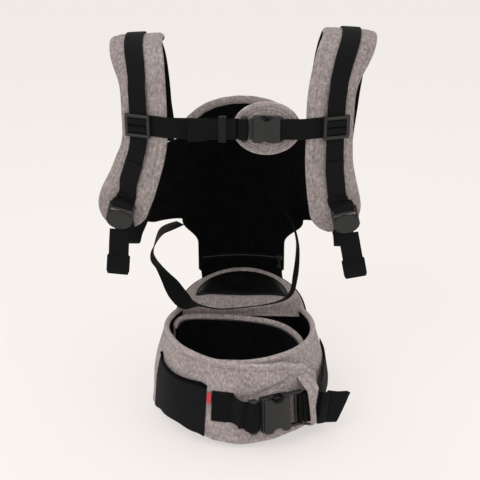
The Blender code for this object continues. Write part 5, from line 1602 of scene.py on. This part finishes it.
def wt_fold(u, v, k):
    """The webbing folded back on itself in front of the tail's root."""
    vv = lerp(0.36, 0.55, v)
    p, b = wt.at(vv)[:2]
    t = wt.tangent(vv)
    b = (b - t * b.dot(t)).normalized()
    n = b.cross(t)
    h = 0.0030 * (0.12 + 0.88 * crown(v, 2.6)) * (0.4 + 0.6 * crown(u, 8))
    return p + b * (u - 0.5) * WEB_W * 1.03 - n * (0.0036 + (-h if k else h)) + Vector((0, 0, -0.0010))


slab("waist_tail_fold", 16, 30, wt_fold, WEB_HEM, (0.051, 0.020), "seat_and_belt", us=spread, vs=spread)
slab("waist_tail_web", 20, 110, wt_f, WEB, (0.050, 0.12), "seat_and_belt", ("waist_tail",), us=spread)


def loop_at(u, z, d):
    bulge = smooth((z - 0.021) / 0.012) * smooth((0.106 - z) / 0.020)
    w = smooth((z - 0.055) / 0.045)
    t = lerp(lerp(312.0, 311.5, w), lerp(315.8, 320.5, w), u)
    return ring(t, z, lift(t) + WALL + 0.0013 + 0.0215 * bulge + d), t


def loop_f(u, v, k):
    z = lerp(0.021, 0.106, v)
    e = min(u * 0.0125, (1 - u) * 0.0125, v * 0.1, (1 - v) * 0.1)
    h = 0.0013 * (0.35 + 0.65 * puff(e, 0.0022))
    n = noise.noise(Vector((u * 3, z * 60, 4.4))) * 0.0005
    return loop_at(u, z, n + (h if k else -h))[0]


slab("webbing_loop_band", 16, 80, loop_f, GREY, (0.0125, 0.12), "seat_and_belt", ("webbing_loop",), us=spread)
runs = []
for uu in (0.12, 0.88):
    run = []
    for i in range(61):
        p, t = loop_at(uu, lerp(0.024, 0.103, i / 60), 0.0012)
        run.append((p, facing(t, p.z)))
    runs.append(run)
stitches("webbing_loop_stitching", runs, GREY_THREAD, "seat_and_belt")

# ------------------------------------------------------------------ safety strap
saf = [((-0.1060, 0.1350, 0.2705), (-0.25, 0.90, -0.10)), ((-0.1336, 0.1180, 0.2621), (-0.10, 0.98, 0.05)), ((-0.1475, 0.1000, 0.2401), (0.0, 1.0, -0.05)),
       ((-0.1486, 0.0900, 0.2242), (0.08, 0.98, -0.18)), ((-0.1399, 0.0870, 0.2106), (0.18, 0.93, -0.30)), ((-0.1285, 0.0830, 0.1945), (0.38, 0.90, -0.20)),
       ((-0.1169, 0.0780, 0.1793), (0.61, 0.74, 0.0)), ((-0.1062, 0.0720, 0.1655), (0.73, 0.66, 0.06)), ((-0.0920, 0.0655, 0.1545), (0.60, 0.74, 0.10)),
       ((-0.0700, 0.0655, 0.1492), (0.16, 0.90, -0.36)), ((-0.0418, 0.0655, 0.1432), (0.0, 0.90, -0.41)), ((-0.0158, 0.0655, 0.1440), (0.0, 0.90, -0.41)),
       ((0.0358, 0.0680, 0.1500), (0.0, 0.90, -0.41)), ((0.0694, 0.0750, 0.1560), (-0.05, 0.92, -0.34)), ((0.0855, 0.0850, 0.1672), (-0.12, 0.94, -0.26)),
       ((0.0912, 0.0950, 0.1910), (-0.16, 0.98, 0.0)), ((0.0945, 0.1080, 0.2201), (-0.14, 0.98, 0.02)), ((0.0940, 0.1170, 0.2460), (-0.14, 0.98, 0.06)),
       ((0.0864, 0.1310, 0.2700), (-0.22, 0.95, 0.10)), ((0.0700, 0.1560, 0.2900), (-0.25, 0.92, 0.15))]
saf_path = Path([p for p, _ in saf], [w for _, w in saf], steps=12)
ob = ribbon("safety_web", saf_path, 0.034, -WEB_T / 2, WEB_T / 2, 260, WEB, None, ("safety_strap",), nu=10)
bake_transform(ob)

# ------------------------------------------------------------------ carried-over plastic
for node in ("chest_prong_upper", "chest_prong_lower", "waist_prong_upper", "waist_prong_lower"):
    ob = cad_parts[node]
    ob.data.materials.clear()
    ob.data.materials.append(PLASTIC)
    bev = ob.modifiers.new("edges", "BEVEL")
    bev.width, bev.segments, bev.limit_method, bev.angle_limit = 0.0003, 2, "ANGLE", math.radians(40)
